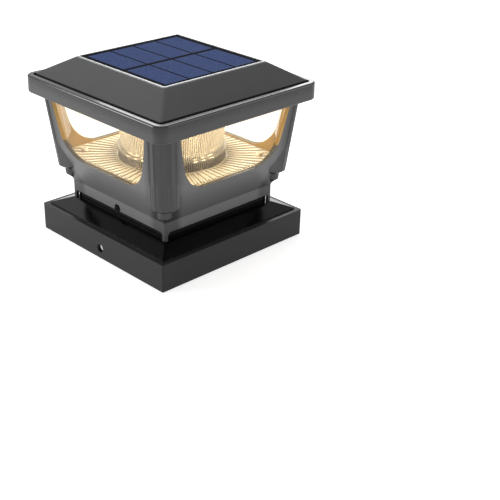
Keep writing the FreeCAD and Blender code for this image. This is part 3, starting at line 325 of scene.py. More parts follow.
roofAbs = mouldedPlastic("satinBlackAbs", ("#262627", "#2b2b2c"), 0.34, 0.5, 0.01, 0.2, 1.4)
# painted reflection: the rim wall is lighter at its foot and darkens towards the lip
rimAbs = paintedShadeBlackAbs("lippedBlackAbs", ("#343435", "#0c0c0d"), (0.4, 0.1), (76.5 * mm, 81.6 * mm), 1.5)
# painted light: walls lighter for the windows' glow, inner walls gold for the lamps' light
bodyAbs = lampLitBlackAbs("lampLitBlackAbs", "#545455", "#2a2a2b", "#94794c", 42.5 * mm, 73.0 * mm)
# painted shade: the base's top, under the lantern, is near black
baseAbs = paintedShadeBlackAbs("skirtBlackAbs", ("#2c2c2d", "#040404"), (0.36, 0.16), (14.2 * mm, 14.4 * mm), 1.22)
trayAbs = mouldedPlastic("smoothBlackAbs", ("#161617", "#1d1d1e"), 0.42, 0.4, 0.008)
whiteAbs = mouldedPlastic("warmWhiteAbs", ("#f3ead6", "#f8f1e2"), 0.25, 0.6, 0.01)
clearPanes = clearPlastic("clearPolycarbonate", "#fffdf8", 0.03, 1.4)
# painted shade in the reeds' grooves
opticPc = milkyOptic("ribbedMilkyPolycarbonate", "#b9b1a2", "#4f4535", 150, 48.0 * mm)
silverBezel = grainedMetal("brushedAluminium", "#a2a3a6", 0.36, 0.5)
creamScrews = mouldedPlastic("creamPaintedSteel", ("#e2d6bd", "#ebe0c9"), 0.3, 0.4, 0.005)
zincScrews = grainedMetal("zincPlatedSteel", "#b9bbbd", 0.34, 0.3)
blackScrews = grainedMetal("blackOxideSteel", "#1c1c1d", 0.42, 0.3)
nickelStrip = grainedMetal("nickelPlatedSteel", "#c6c2b4", 0.28, 0.4)
cellSilicon = siliconCells("blueSiliconCells", ("#414f7a", "#52608a"), "#5a6890", "#151617")
panelBlack = mouldedPlastic("blackPanelLaminate", ("#1c1d1e", "#222324"), 0.6, 0.4, 0.004, 0.1, 1.03)
stripLacquer = mouldedPlastic("brownStripLacquer", ("#3a220e", "#4a2d12"), 0.4, 0.4, 0.01)
lampFrame = mouldedPlastic("whiteLampPackage", ("#e9e4d6", "#f2ecdd"), 0.35, 0.3, 0.004)
ledPhosphor = litPhosphor("litLampPhosphor", "#ffeccb", 20.0)
foamRubber = mouldedPlastic("blackFoamRubber", ("#151515", "#1c1c1c"), 0.8, 0.3, 0.04)
batterySleeve = mouldedPlastic("tealShrinkSleeve", ("#1f5a6c", "#256577"), 0.3, 1.5, 0.01)
boardMask = mouldedPlastic("greenSolderMask", ("#0f4a26", "#14552d"), 0.35, 0.6, 0.01)
# painted shade: tan for the dark stripes on the lit floor
grooveShade = mouldedPlastic("paintedStripeShadeAbs", ("#9c8860", "#a8956e"), 0.3, 0.6, 0.01)
partResin = mouldedPlastic("blackPartResin", ("#1a1a1a", "#222222"), 0.5, 0.3, 0.01)
buttonRubber = mouldedPlastic("blackButtonRubber", ("#1c1c1c", "#232323"), 0.62, 0.3, 0.02)
leadPvc = mouldedPlastic("redLeadPvc", ("#8a1c16", "#9a241c"), 0.4, 0.6, 0.01)

wearing = {
    "post_base": baseAbs, "lantern_body": bodyAbs, "roof_rim": rimAbs, "roof_cover": roofAbs,
    "neck_screws": blackScrews, "window_insert": clearPanes, "ribbed_floor": whiteAbs,
    "floor_screws": creamScrews, "reflector_drum": opticPc, "drum_screws": zincScrews,
    "lamp_hub": whiteAbs, "hub_screws": zincScrews, "led_strips": stripLacquer, "leds": ledPhosphor,
    "ceiling_plate": whiteAbs, "body_screws": zincScrews, "roof_seal": foamRubber,
    "roof_screws": zincScrews, "panel_bezel": silverBezel, "panel_backing": panelBlack,
    "solar_cells": cellSilicon, "panel_sheet": clearPanes, "electronics_tray": trayAbs,
    "battery": batterySleeve, "battery_contacts": nickelStrip, "battery_door": trayAbs,
    "door_seal": foamRubber, "door_screws": zincScrews, "circuit_board": boardMask,
    "board_parts": partResin, "board_screws": zincScrews, "power_switch": partResin,
    "power_button": buttonRubber, "panel_leads": leadPvc, "led_leads": leadPvc,
    "battery_leads": leadPvc,
}
for nodeName, material in wearing.items():
    for slot in nodes[nodeName].material_slots:
        slot.material = material
print("materials worn:", len(wearing))


# geometry node trees
def newTree(name, inputs):
    tree = bpy.data.node_groups.new(name, "GeometryNodeTree")
    tree.interface.new_socket("Geometry", in_out="INPUT", socket_type="NodeSocketGeometry")
    for label, (kind, value) in inputs.items():
        socket = tree.interface.new_socket(label, in_out="INPUT", socket_type=kind)
        if value is not None:
            socket.default_value = value
    tree.interface.new_socket("Geometry", in_out="OUTPUT", socket_type="NodeSocketGeometry")
    return tree, tree.nodes.new("NodeGroupInput")


def endTree(tree, given, geometry, materialInput="Material"):
    whole = addNode(tree, "GeometryNodeRealizeInstances", {}, {"Geometry": geometry})
    if materialInput:
        whole = addNode(tree, "GeometryNodeSetMaterial", {}, {
            "Geometry": (whole, "Geometry"), "Material": (given, materialInput)})
    output = tree.nodes.new("NodeGroupOutput")
    tree.links.new(whole.outputs["Geometry"], output.inputs["Geometry"])


# grows a mesh through a tree, keeps the result as a plain mesh and lets it ride on a body
def growPiece(name, mesh, tree, values, body, replaced):
    piece = bpy.data.objects.new(name, mesh)
    scene.collection.objects.link(piece)
    modifier = piece.modifiers.new("grow", "NODES")
    modifier.node_group = tree
    for item in tree.interface.items_tree:
        if item.item_type == "SOCKET" and item.in_out == "INPUT" and item.name in values:
            modifier[item.identifier] = values[item.name]
    bpy.context.view_layer.update()
    shown = piece.evaluated_get(bpy.context.evaluated_depsgraph_get())
    grown = bpy.data.meshes.new_from_object(shown)
    piece.modifiers.clear()
    piece.data = grown
    grown.name = name
    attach(piece, body)
    for node in replaced:
        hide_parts(node)
    print(name, "grown:", len(grown.polygons), "faces")
    return piece


def mathNode(tree, operation, first, second=0.0):
    node = addNode(tree, "ShaderNodeMath", {"operation": operation}, {0: first, 1: second})
    return (node, "Value")


# turns a closed (radius, height) outline round Z; points marked ribbed get reeds along them
def makeTurnedTree():
    tree, given = newTree("turnedReeds", {
        "Points": ("NodeSocketInt", 12), "Reeds": ("NodeSocketInt", 120), "Steps": ("NodeSocketInt", 6),
        "Reed Depth": ("NodeSocketFloat", 0.3 * mm), "Material": ("NodeSocketMaterial", None)})
    around = mathNode(tree, "MULTIPLY", (given, "Reeds"), (given, "Steps"))
    rows = mathNode(tree, "ADD", (given, "Points"), 1.0)
    columns = mathNode(tree, "ADD", around, 1.0)
    grid = addNode(tree, "GeometryNodeMeshGrid", {}, {"Vertices X": columns, "Vertices Y": rows})
    index = addNode(tree, "GeometryNodeInputIndex")
    column = mathNode(tree, "FLOOR", mathNode(tree, "DIVIDE", mathNode(tree, "ADD", (index, 0), 0.5), rows))
    row = mathNode(tree, "SUBTRACT", (index, 0), mathNode(tree, "MULTIPLY", column, rows))
    row = mathNode(tree, "FLOORED_MODULO", row, (given, "Points"))
    place = addNode(tree, "GeometryNodeInputPosition")
    outline = addNode(tree, "GeometryNodeSampleIndex", {"data_type": "FLOAT_VECTOR"}, {
        "Geometry": (given, "Geometry"), "Value": (place, 0), "Index": row})
    marked = addNode(tree, "GeometryNodeInputNamedAttribute", {"data_type": "FLOAT"}, {"Name": "ribbed"})
    mark = addNode(tree, "GeometryNodeSampleIndex", {"data_type": "FLOAT"}, {
        "Geometry": (given, "Geometry"), "Value": (marked, 0), "Index": row})
    at = addNode(tree, "ShaderNodeSeparateXYZ", {}, {"Vector": (outline, "Value")})
    angle = mathNode(tree, "MULTIPLY", mathNode(tree, "DIVIDE", column, around), 2 * math.pi)
    swing = mathNode(tree, "MULTIPLY", angle, mathNode(tree, "MULTIPLY", (given, "Reeds"), 0.5))
    hollow = mathNode(tree, "SUBTRACT", 1.0, mathNode(tree, "ABSOLUTE", mathNode(tree, "SINE", swing)))
    depth = mathNode(tree, "MULTIPLY", mathNode(tree, "MULTIPLY", hollow, (given, "Reed Depth")),
                     (mark, "Value"))
    radius = mathNode(tree, "SUBTRACT", (at, "X"), depth)
    moved = addNode(tree, "ShaderNodeCombineXYZ", {}, {
        "X": mathNode(tree, "MULTIPLY", radius, mathNode(tree, "COSINE", angle)),
        "Y": mathNode(tree, "MULTIPLY", radius, mathNode(tree, "SINE", angle)), "Z": (at, "Z")})
    turned = addNode(tree, "GeometryNodeSetPosition", {}, {
        "Geometry": (grid, "Mesh"), "Position": (moved, "Vector")})
    welded = addNode(tree, "GeometryNodeMergeByDistance", {}, {
        "Geometry": (turned, "Geometry"), "Distance": 0.001 * mm})
    endTree(tree, given, (welded, "Geometry"))
    return tree


# ribs like spokes on a square floor, each reaching the square's edge
def makeSpokeTree():
    tree, given = newTree("floorSpokes", {
        "Count": ("NodeSocketInt", 144), "Inner Radius": ("NodeSocketFloat", 28 * mm),
        "Half Side": ("NodeSocketFloat", 38 * mm), "Corner Cut": ("NodeSocketFloat", 50 * mm),
        "Width": ("NodeSocketFloat", 0.5 * mm), "Height": ("NodeSocketFloat", 0.3 * mm),
        "Floor": ("NodeSocketFloat", 43 * mm), "Material": ("NodeSocketMaterial", None)})
    points = addNode(tree, "GeometryNodePoints", {}, {"Count": (given, "Count")})
    index = addNode(tree, "GeometryNodeInputIndex")
    step = mathNode(tree, "DIVIDE", 2 * math.pi, (given, "Count"))
    angle = mathNode(tree, "MULTIPLY", mathNode(tree, "ADD", (index, 0), 0.5), step)
    cosine = mathNode(tree, "ABSOLUTE", mathNode(tree, "COSINE", angle))
    sine = mathNode(tree, "ABSOLUTE", mathNode(tree, "SINE", angle))
    toSide = mathNode(tree, "DIVIDE", (given, "Half Side"), mathNode(tree, "MAXIMUM", cosine, sine))
    toCorner = mathNode(tree, "DIVIDE", (given, "Corner Cut"), mathNode(tree, "ADD", cosine, sine))
    reach = mathNode(tree, "MINIMUM", toSide, toCorner)
    length = mathNode(tree, "SUBTRACT", reach, (given, "Inner Radius"))
    middle = mathNode(tree, "MULTIPLY", mathNode(tree, "ADD", reach, (given, "Inner Radius")), 0.5)
    place = addNode(tree, "ShaderNodeCombineXYZ", {}, {
        "X": mathNode(tree, "MULTIPLY", middle, mathNode(tree, "COSINE", angle)),
        "Y": mathNode(tree, "MULTIPLY", middle, mathNode(tree, "SINE", angle)), "Z": (given, "Floor")})
    placed = addNode(tree, "GeometryNodeSetPosition", {}, {
        "Geometry": (points, "Geometry"), "Position": (place, "Vector")})
    prism = addNode(tree, "GeometryNodeMeshCylinder", {}, {
        "Vertices": 3, "Side Segments": 1, "Radius": 1.0, "Depth": 1.0})
    lying = addNode(tree, "GeometryNodeTransform", {}, {
        "Geometry": (prism, "Mesh"), "Rotation": (0, math.pi / 2, 0)})
    turn = addNode(tree, "ShaderNodeCombineXYZ", {}, {"Z": angle})
    size = addNode(tree, "ShaderNodeCombineXYZ", {}, {
        "X": length, "Y": (given, "Width"), "Z": (given, "Height")})
    spokes = addNode(tree, "GeometryNodeInstanceOnPoints", {}, {
        "Points": (placed, "Geometry"), "Instance": (lying, "Geometry"), "Rotation": (turn, "Vector"),
        "Scale": (size, "Vector")})
    endTree(tree, given, (spokes, "Instances"))
    return tree


# a cross-recess screw with a ringed shank at each point, its head towards the point's "axis"
def makeScrewTree():
    tree, given = newTree("crossScrews", {
        "Head Radius": ("NodeSocketFloat", 1.75 * mm), "Head Height": ("NodeSocketFloat", 1.2 * mm),
        "Shank Radius": ("NodeSocketFloat", 0.95 * mm), "Length": ("NodeSocketFloat", 8 * mm),
        "Pitch": ("NodeSocketFloat", 0.8 * mm), "Material": ("NodeSocketMaterial", None)})
    turns = mathNode(tree, "MULTIPLY", mathNode(tree, "ROUND", mathNode(
        tree, "DIVIDE", (given, "Length"), (given, "Pitch"))), 2.0)
    shank = addNode(tree, "GeometryNodeMeshCylinder", {}, {
        "Vertices": 16, "Side Segments": turns, "Radius": (given, "Shank Radius"),
        "Depth": (given, "Length")})
    place = addNode(tree, "GeometryNodeInputPosition")
    at = addNode(tree, "ShaderNodeSeparateXYZ", {}, {"Vector": (place, 0)})
    fromEnd = mathNode(tree, "ADD", (at, "Z"), mathNode(tree, "MULTIPLY", (given, "Length"), 0.5))
    ring = mathNode(tree, "ROUND", mathNode(tree, "DIVIDE", mathNode(
        tree, "MULTIPLY", fromEnd, turns), (given, "Length")))
    root = mathNode(tree, "MULTIPLY", mathNode(tree, "FLOORED_MODULO", ring, 2.0), -0.18)
    taper = mathNode(tree, "MULTIPLY", mathNode(tree, "LESS_THAN", ring, 1.0), -0.5)
    shrink = mathNode(tree, "ADD", mathNode(tree, "ADD", root, taper), 1.0)
    slim = addNode(tree, "ShaderNodeCombineXYZ", {}, {
        "X": mathNode(tree, "MULTIPLY", (at, "X"), shrink),
        "Y": mathNode(tree, "MULTIPLY", (at, "Y"), shrink), "Z": (at, "Z")})
    thread = addNode(tree, "GeometryNodeSetPosition", {}, {
        "Geometry": (shank, "Mesh"), "Position": (slim, "Vector")})
    down = addNode(tree, "ShaderNodeCombineXYZ", {}, {
        "Z": mathNode(tree, "MULTIPLY", (given, "Length"), -0.5)})
    threadLow = addNode(tree, "GeometryNodeTransform", {}, {
        "Geometry": (thread, "Geometry"), "Translation": (down, "Vector")})
    head = addNode(tree, "GeometryNodeMeshCone", {}, {
        "Vertices": 28, "Side Segments": 3, "Radius Bottom": (given, "Head Radius"),
        "Radius Top": mathNode(tree, "MULTIPLY", (given, "Head Radius"), 0.82),
        "Depth": (given, "Head Height")})
    slotSize = addNode(tree, "ShaderNodeCombineXYZ", {}, {
        "X": mathNode(tree, "MULTIPLY", (given, "Head Radius"), 1.15),
        "Y": mathNode(tree, "MULTIPLY", (given, "Head Radius"), 0.26),
        "Z": (given, "Head Height")})
    slot = addNode(tree, "GeometryNodeMeshCube", {}, {"Size": (slotSize, "Vector")})
    up = addNode(tree, "ShaderNodeCombineXYZ", {}, {
        "Z": mathNode(tree, "MULTIPLY", (given, "Head Height"), 0.95)})
    slotUp = addNode(tree, "GeometryNodeTransform", {}, {
        "Geometry": (slot, "Mesh"), "Translation": (up, "Vector")})
    slotTurned = addNode(tree, "GeometryNodeTransform", {}, {
        "Geometry": (slotUp, "Geometry"), "Rotation": (0, 0, math.pi / 2)})
    recessed = addNode(tree, "GeometryNodeMeshBoolean", {"operation": "DIFFERENCE"}, {
        "Mesh 1": (head, "Mesh")})
    tree.links.new(slotUp.outputs["Geometry"], recessed.inputs["Mesh 2"])
    tree.links.new(slotTurned.outputs["Geometry"], recessed.inputs["Mesh 2"])
    screw = addNode(tree, "GeometryNodeJoinGeometry")
    tree.links.new(recessed.outputs["Mesh"], screw.inputs["Geometry"])
    tree.links.new(threadLow.outputs["Geometry"], screw.inputs["Geometry"])
    axis = addNode(tree, "GeometryNodeInputNamedAttribute", {"data_type": "FLOAT_VECTOR"}, {"Name": "axis"})
    aligned = addNode(tree, "FunctionNodeAlignRotationToVector", {"axis": "Z"}, {"Vector": (axis, 0)})
    screws = addNode(tree, "GeometryNodeInstanceOnPoints", {}, {
        "Points": (given, "Geometry"), "Instance": (screw, "Geometry"), "Rotation": (aligned, "Rotation")})
    endTree(tree, given, (screws, "Instances"))
    return tree


# a lamp package at each point: white frame with a phosphor window facing the point's "axis"
def makeLampTree():
    tree, given = newTree("lampPackages", {
        "Size": ("NodeSocketVector", (2.2 * mm, 3.0 * mm, 0.7 * mm)),
        "Window": ("NodeSocketFloat", 0.82), "Frame Material": ("NodeSocketMaterial", None),
        "Window Material": ("NodeSocketMaterial", None)})
    shape = addNode(tree, "GeometryNodeMeshCube", {}, {"Size": (given, "Size")})
    place = addNode(tree, "GeometryNodeInputNormal")
    at = addNode(tree, "ShaderNodeSeparateXYZ", {}, {"Vector": (place, 0)})
    front = mathNode(tree, "GREATER_THAN", (at, "Z"), 0.5)
    inset = addNode(tree, "GeometryNodeExtrudeMesh", {"mode": "FACES"}, {
        "Mesh": (shape, "Mesh"), "Selection": front, "Offset Scale": 0.0})
    narrowed = addNode(tree, "GeometryNodeScaleElements", {"domain": "FACE"}, {
        "Geometry": (inset, "Mesh"), "Selection": (inset, "Top"), "Scale": (given, "Window")})
    framed = addNode(tree, "GeometryNodeSetMaterial", {}, {
        "Geometry": (narrowed, "Geometry"), "Material": (given, "Frame Material")})
    lit = addNode(tree, "GeometryNodeSetMaterial", {}, {
        "Geometry": (framed, "Geometry"), "Selection": (inset, "Top"),
        "Material": (given, "Window Material")})
    axis = addNode(tree, "GeometryNodeInputNamedAttribute", {"data_type": "FLOAT_VECTOR"}, {"Name": "axis"})
    aligned = addNode(tree, "FunctionNodeAlignRotationToVector", {"axis": "Z"}, {"Vector": (axis, 0)})
    lamps = addNode(tree, "GeometryNodeInstanceOnPoints", {}, {
        "Points": (given, "Geometry"), "Instance": (lit, "Geometry"), "Rotation": (aligned, "Rotation")})
    endTree(tree, given, (lamps, "Instances"), None)
    return tree


# rounded laminate plate with two banks of cell tiles on it, a bus line between them
def makePanelTree():
    tree, given = newTree("cellPanel", {
        "Side": ("NodeSocketFloat", 62 * mm), "Corner": ("NodeSocketFloat", 1 * mm),
        "Plate Low": ("NodeSocketFloat", 89 * mm), "Plate Thickness": ("NodeSocketFloat", 2.4 * mm),
        "Banks": ("NodeSocketInt", 2), "Rows": ("NodeSocketInt", 4),
        "Bank Pitch": ("NodeSocketFloat", 30 * mm), "Row Pitch": ("NodeSocketFloat", 14.6 * mm),
        "Cell Size": ("NodeSocketVector", (28 * mm, 14 * mm, 0.1 * mm)),
        "Plate Material": ("NodeSocketMaterial", None), "Cell Material": ("NodeSocketMaterial", None)})
    square = addNode(tree, "GeometryNodeCurvePrimitiveQuadrilateral", {}, {
        "Width": (given, "Side"), "Height": (given, "Side")})
    rounded = addNode(tree, "GeometryNodeFilletCurve", {"mode": "POLY"}, {
        "Curve": (square, "Curve"), "Radius": (given, "Corner"), "Count": 6})
    sheet = addNode(tree, "GeometryNodeFillCurve", {}, {"Curve": (rounded, "Curve")})
    raised = addNode(tree, "GeometryNodeExtrudeMesh", {"mode": "FACES"}, {
        "Mesh": (sheet, "Mesh"), "Offset Scale": (given, "Plate Thickness"), "Individual": False})
    under = addNode(tree, "GeometryNodeFlipFaces", {}, {"Mesh": (sheet, "Mesh")})
    block = addNode(tree, "GeometryNodeJoinGeometry")
    tree.links.new(raised.outputs["Mesh"], block.inputs["Geometry"])
    tree.links.new(under.outputs["Mesh"], block.inputs["Geometry"])
    welded = addNode(tree, "GeometryNodeMergeByDistance", {}, {
        "Geometry": (block, "Geometry"), "Distance": 0.001 * mm})
    low = addNode(tree, "ShaderNodeCombineXYZ", {}, {"Z": (given, "Plate Low")})
    placed = addNode(tree, "GeometryNodeTransform", {}, {
        "Geometry": (welded, "Geometry"), "Translation": (low, "Vector")})
    plate = addNode(tree, "GeometryNodeSetMaterial", {}, {
        "Geometry": (placed, "Geometry"), "Material": (given, "Plate Material")})
    spanX = mathNode(tree, "MULTIPLY", (given, "Bank Pitch"),
                     mathNode(tree, "SUBTRACT", (given, "Banks"), 1.0))
    spanY = mathNode(tree, "MULTIPLY", (given, "Row Pitch"),
                     mathNode(tree, "SUBTRACT", (given, "Rows"), 1.0))
    grid = addNode(tree, "GeometryNodeMeshGrid", {}, {
        "Size X": spanX, "Size Y": spanY, "Vertices X": (given, "Banks"), "Vertices Y": (given, "Rows")})
    tile = addNode(tree, "GeometryNodeMeshCube", {}, {"Size": (given, "Cell Size")})
    tiles = addNode(tree, "GeometryNodeInstanceOnPoints", {}, {
        "Points": (grid, "Mesh"), "Instance": (tile, "Mesh")})
    high = addNode(tree, "ShaderNodeCombineXYZ", {}, {
        "Z": mathNode(tree, "ADD", (given, "Plate Low"), (given, "Plate Thickness"))})
    lifted = addNode(tree, "GeometryNodeTransform", {}, {
        "Geometry": (tiles, "Instances"), "Translation": (high, "Vector")})
    cells = addNode(tree, "GeometryNodeSetMaterial", {}, {
        "Geometry": (lifted, "Geometry"), "Material": (given, "Cell Material")})
    whole = addNode(tree, "GeometryNodeJoinGeometry")
    tree.links.new(plate.outputs["Geometry"], whole.inputs["Geometry"])
    tree.links.new(cells.outputs["Geometry"], whole.inputs["Geometry"])
    endTree(tree, given, (whole, "Geometry"), None)
    return tree


# boxes of the separate solids of a CAD node
def solidBoxes(nodeName):
    mesh = bmesh.new()
    mesh.from_mesh(nodes[nodeName].data)
    bmesh.ops.remove_doubles(mesh, verts=mesh.verts, dist=0.001 * mm)
    left = set(mesh.verts)
    boxes = []
    while left:
        patch = [left.pop()]
        found = list(patch)
        while patch:
            for edge in patch.pop().link_edges:
                for vertex in edge.verts:
                    if vertex in left:
                        left.remove(vertex)
                        patch.append(vertex)
                        found.append(vertex)
        low = Vector([min(v.co[i] for v in found) for i in range(3)])
        high = Vector([max(v.co[i] for v in found) for i in range(3)])
        boxes.append((low, high))
    mesh.free()
    return sorted(boxes, key=lambda pair: tuple(pair[0]))


def pointMesh(name, points, attribute, kind, values):
    mesh = bpy.data.meshes.new(name)
    mesh.from_pydata([tuple(point) for point in points], [], [])
    layer = mesh.attributes.new(attribute, kind, "POINT")
    for item, value in zip(layer.data, values):
        if kind == "FLOAT_VECTOR":
            item.vector = value
        else:
            item.value = value
    return mesh


# the ribbed tube around the lamps, with finer reeds than the solid's
drumSettings = {
    "reeds": 150,
    "steps": 6,                     # faces across a reed
    "reedDepth": 0.28 * mm,
    "wall": 2.6 * mm,               # from the reeds' crests inwards
    "flange": 8.0 * mm,
    "flangeThickness": 3.0 * mm,
    "footRadii": (27.0 * mm, 26.2 * mm),        # below and above
    "ringRadius": 27.3 * mm,
    "ringHeights": (47.6 * mm, 48.6 * mm),
    "tubeRadius": 25.4 * mm,        # at its lower end
    "plateThickness": 1.5 * mm,
    "wireHoleRadius": 6.5 * mm,
    "lampSpaceRadii": (25.0 * mm, 23.9 * mm),   # hollow of the foot, below and above
}


def makeDrum(settings):
    low, high = map(Vector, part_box("reflector_drum"))
    topRadius, tubeRadius, ringRadius = high.x, settings["tubeRadius"], settings["ringRadius"]
    ringLow, ringHigh = settings["ringHeights"]
    footLow, footHigh = settings["footRadii"]
    spaceLow, spaceHigh = settings["lampSpaceRadii"]
    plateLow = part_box("lamp_hub")[1][2]
    plateHigh = plateLow + settings["plateThickness"]
    flangeRadius, flangeLow = topRadius - settings["flange"], high.z - settings["flangeThickness"]
    wall, hole = settings["wall"], settings["wireHoleRadius"]
    outline = [
        (footLow, low.z, 1), (footHigh, ringLow, 1), (ringRadius, ringLow, 0),
        (ringRadius, ringHigh, 0), (tubeRadius, ringHigh, 1), (topRadius, high.z, 1),
        (flangeRadius, high.z, 0), (flangeRadius, flangeLow, 0), (topRadius - wall, flangeLow, 0),
        (tubeRadius - wall, plateHigh, 0), (hole, plateHigh, 0), (hole, plateLow, 0),
        (spaceHigh, plateLow, 0), (spaceLow, low.z, 0),
    ]
    mesh = pointMesh("drumOutline", [(r, 0, z) for r, z, mark in outline], "ribbed", "FLOAT",
                     [mark for r, z, mark in outline])
    growPiece("ribbedDrum", mesh, makeTurnedTree(), {
        "Points": len(outline), "Reeds": settings["reeds"], "Steps": settings["steps"],
        "Reed Depth": settings["reedDepth"], "Material": opticPc}, "housing", ["reflector_drum"])


makeDrum(drumSettings)

# fine spokes between the floor's moulded ribs, coloured tan as painted shade: the dark stripes across the lit
# floor
spokeSettings = {
    "count": 144,
    "innerRadius": 28.2 * mm,
    "edgeGap": 0.6 * mm,
    "width": 0.24 * mm,
    "height": 0.3 * mm,
    "floorHeight": 43.0 * mm,
    "cornerShare": 1.86,     # x + y at the floor's cut corners, over its half side
}


def makeSpokes(settings):
    low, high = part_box("ribbed_floor")
    half = high[0] - settings["edgeGap"]
    growPiece("floorSpokes", bpy.data.meshes.new("spokeStart"), makeSpokeTree(), {
        "Count": settings["count"], "Inner Radius": settings["innerRadius"], "Half Side": half,
        "Corner Cut": settings["cornerShare"] * half, "Width": settings["width"],
        "Height": settings["height"], "Floor": settings["floorHeight"],
        "Material": grooveShade}, "housing", [])


makeSpokes(spokeSettings)

# screws: +1 where the head is the upper end
screwSettings = {
    "headRadius": 1.75 * mm,
    "headHeight": 1.2 * mm,
    "shankRadius": 0.93 * mm,
    "pitch": 0.8 * mm,
    "vertical": {"floor_screws": 1, "drum_screws": 1, "hub_screws": -1, "body_screws": 1,
                 "roof_screws": -1, "door_screws": -1, "board_screws": 1},
    "neck": {"Head Radius": 1.9 * mm, "Head Height": 1.6 * mm, "Shank Radius": 1.15 * mm,
             "Length": 3.9 * mm, "Pitch": 0.9 * mm, "Material": blackScrews},
}


def makeScrews(settings):
    tree = makeScrewTree()
    for nodeName, side in settings["vertical"].items():
        headHeight = settings["headHeight"]
        places = []
        for low, high in solidBoxes(nodeName):
            middle = (low + high) / 2
            middle.z = high.z - headHeight if side > 0 else low.z + headHeight
            middle.z += side * headHeight / 2
            places.append(middle)
        mesh = pointMesh(nodeName + "Places", places, "axis", "FLOAT_VECTOR", [(0, 0, side)] * len(places))
        growPiece(nodeName.replace("_s", "S"), mesh, tree, {
            "Head Radius": settings["headRadius"], "Head Height": headHeight,
            "Shank Radius": settings["shankRadius"], "Length": high.z - low.z - headHeight / 2,
            "Pitch": settings["pitch"], "Material": wearing[nodeName]}, "housing", [nodeName])
    places = []
    axes = []
    for low, high in solidBoxes("neck_screws"):
        middle = (low + high) / 2
        side = 1 if middle.y > 0 else -1
        end = high.y if side > 0 else low.y
        places.append((middle.x, end - side * settings["neck"]["Head Height"] / 2, middle.z))
        axes.append((0, side, 0))
    mesh = pointMesh("neckScrewPlaces", places, "axis", "FLOAT_VECTOR", axes)
    growPiece("neckScrews", mesh, tree, settings["neck"], "housing", ["neck_screws"])


makeScrews(screwSettings)


# lamp packages on the strips
packageSettings = {
    "size": (2.2 * mm, 3.0 * mm, 0.7 * mm),
    "window": 0.82,     # share of the frame that glows
}


def makeLamps(settings):
    places = []
    axes = []
    for low, high in solidBoxes("leds"):
        middle = (low + high) / 2
        places.append(middle)
        if high.x - low.x < high.y - low.y:
            axes.append((1 if middle.x > 0 else -1, 0, 0))
        else:
            axes.append((0, 1 if middle.y > 0 else -1, 0))
    mesh = pointMesh("lampPlaces", places, "axis", "FLOAT_VECTOR", axes)
    growPiece("lampPackages", mesh, makeLampTree(), {
        "Size": settings["size"], "Window": settings["window"], "Frame Material": lampFrame,
        "Window Material": ledPhosphor}, "housing", ["leds"])


makeLamps(packageSettings)

# solar panel: black laminate, cells and a film of resin too thin to draw, so it is their gloss
panelSettings = {
    "corner": 1.0 * mm,
    "cellHalf": 28.7 * mm,
    "rows": 4,
    "gap": 1.0 * mm,
    "busGap": 2.3 * mm,
    "proud": 0.05 * mm,
}


def makePanel(settings):
    low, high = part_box("panel_backing")[0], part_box("panel_sheet")[1]
    half, rows, gap = settings["cellHalf"], settings["rows"], settings["gap"]
    wide = half - settings["busGap"] / 2
    proud = settings["proud"]
    growPiece("solarPanelFace", bpy.data.meshes.new("panelStart"), makePanelTree(), {
        "Side": 2 * high[0], "Corner": settings["corner"], "Plate Low": low[2],
        "Plate Thickness": high[2] - low[2] - proud, "Rows": rows,
        "Bank Pitch": half + settings["busGap"] / 2, "Row Pitch": 2 * half / rows,
        "Cell Size": (wide, 2 * half / rows - gap, 2 * proud),
        "Plate Material": panelBlack, "Cell Material": cellSilicon},
        "housing", ["panel_backing", "solar_cells", "panel_sheet"])


makePanel(panelSettings)


# floor, world and lamps
stageSettings = {
    "floorColour": "#f2f2f2",
    "floorLift": 0.66,      # seen by the camera only, so that the lit floor is white
    "floorGlow": 0.7,        # up-light from the pale floor, seen by matt surfaces
    "worldLight": 0.35,
    "overheadPower": 8.0,
    "leftPower": 8.0,
    "rightPower": 1.7,
    "backPower": 2.6,       # behind the object, for the line of light along the rim
    "glowPower": 0.24,
    "glowColour": "#fff8e6",
}


# 1 for rays that see the background straight, in a reflection or through clear plastic
def backgroundRays(tree):
    path = addNode(tree, "ShaderNodeLightPath")
    seen = addNode(tree, "ShaderNodeMath", {"operation": "MAXIMUM"}, {
        0: (path, "Is Camera Ray"), 1: (path, "Is Glossy Ray")})
    return addNode(tree, "ShaderNodeMath", {"operation": "MAXIMUM"}, {
        0: (seen, "Value"), 1: (path, "Is Transmission Ray")})


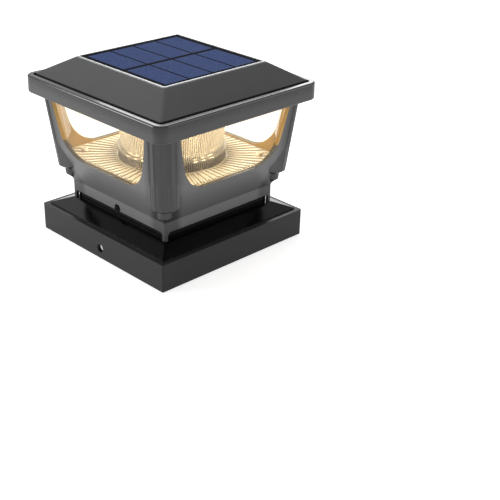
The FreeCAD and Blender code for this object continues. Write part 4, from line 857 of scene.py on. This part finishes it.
def makeStage(settings):
    mesh = bpy.data.meshes.new("floor")
    mesh.from_pydata([(-6, -6, 0), (6, -6, 0), (6, 6, 0), (-6, 6, 0)], [], [(0, 1, 2, 3)])
    floor = bpy.data.objects.new("floor", mesh)
    scene.collection.objects.link(floor)
    material, tree = newMaterial("paleFloor")
    matt = addNode(tree, "ShaderNodeBsdfDiffuse", {}, {"Color": hexToLinear(settings["floorColour"])})
    lift = addNode(tree, "ShaderNodeMapRange", {}, {
        "Value": (backgroundRays(tree), "Value"), "To Min": settings["floorGlow"],
        "To Max": settings["floorLift"]})
    glow = addNode(tree, "ShaderNodeEmission", {}, {"Color": (1, 1, 1, 1), "Strength": (lift, "Result")})
    both = addNode(tree, "ShaderNodeAddShader")
    tree.links.new(matt.outputs[0], both.inputs[0])
    tree.links.new(glow.outputs[0], both.inputs[1])
    endMaterial(tree, both)
    mesh.materials.append(material)
    world = bpy.data.worlds.new("studio")
    scene.world = world
    world.use_nodes = True
    tree = world.node_tree
    tree.nodes.clear()
    strength = addNode(tree, "ShaderNodeMapRange", {}, {
        "Value": (backgroundRays(tree), "Value"), "To Min": settings["worldLight"], "To Max": 1.0})
    back = addNode(tree, "ShaderNodeBackground", {}, {
        "Color": (1, 1, 1, 1), "Strength": (strength, "Result")})
    output = addNode(tree, "ShaderNodeOutputWorld")
    tree.links.new(back.outputs[0], output.inputs["Surface"])


def makeLamp(name, place, target, size, power):
    data = bpy.data.lights.new(name, "AREA")
    data.shape = "SQUARE"
    data.size = size
    data.energy = power
    lamp = bpy.data.objects.new(name, data)
    lamp.location = place
    direction = Vector(target) - Vector(place)
    lamp.rotation_euler = direction.to_track_quat("-Z", "Y").to_euler()
    scene.collection.objects.link(lamp)


makeStage(stageSettings)
middle = (0, 0, 0.05)
makeLamp("overheadSoftbox", (-0.5, 0.25, 1.3), middle, 1.6, stageSettings["overheadPower"])
makeLamp("leftSoftbox", (-0.8, -0.95, 0.28), middle, 0.5, stageSettings["leftPower"])
makeLamp("rightSoftbox", (0.95, 0.8, 0.28), middle, 0.5, stageSettings["rightPower"])


# the lamps' own light, gathered in the middle of the ribbed tube
def makeGlow(place, radius, power, colour):
    data = bpy.data.lights.new("lampGlow", "POINT")
    data.energy = power
    data.shadow_soft_size = radius
    data.color = hexToLinear(colour)[:3]
    glow = bpy.data.objects.new("lampGlow", data)
    glow.location = place
    glow.visible_camera = False
    glow.visible_transmission = False
    glow.visible_glossy = False
    scene.collection.objects.link(glow)


makeGlow((0, 0, 62 * mm), 8 * mm, stageSettings["glowPower"], stageSettings["glowColour"])
scene.view_settings.view_transform = "Standard"
makeLamp("backSoftbox", (-0.85, 0.85, 0.66), middle, 0.45, stageSettings["backPower"])
print("stage and lamps made")
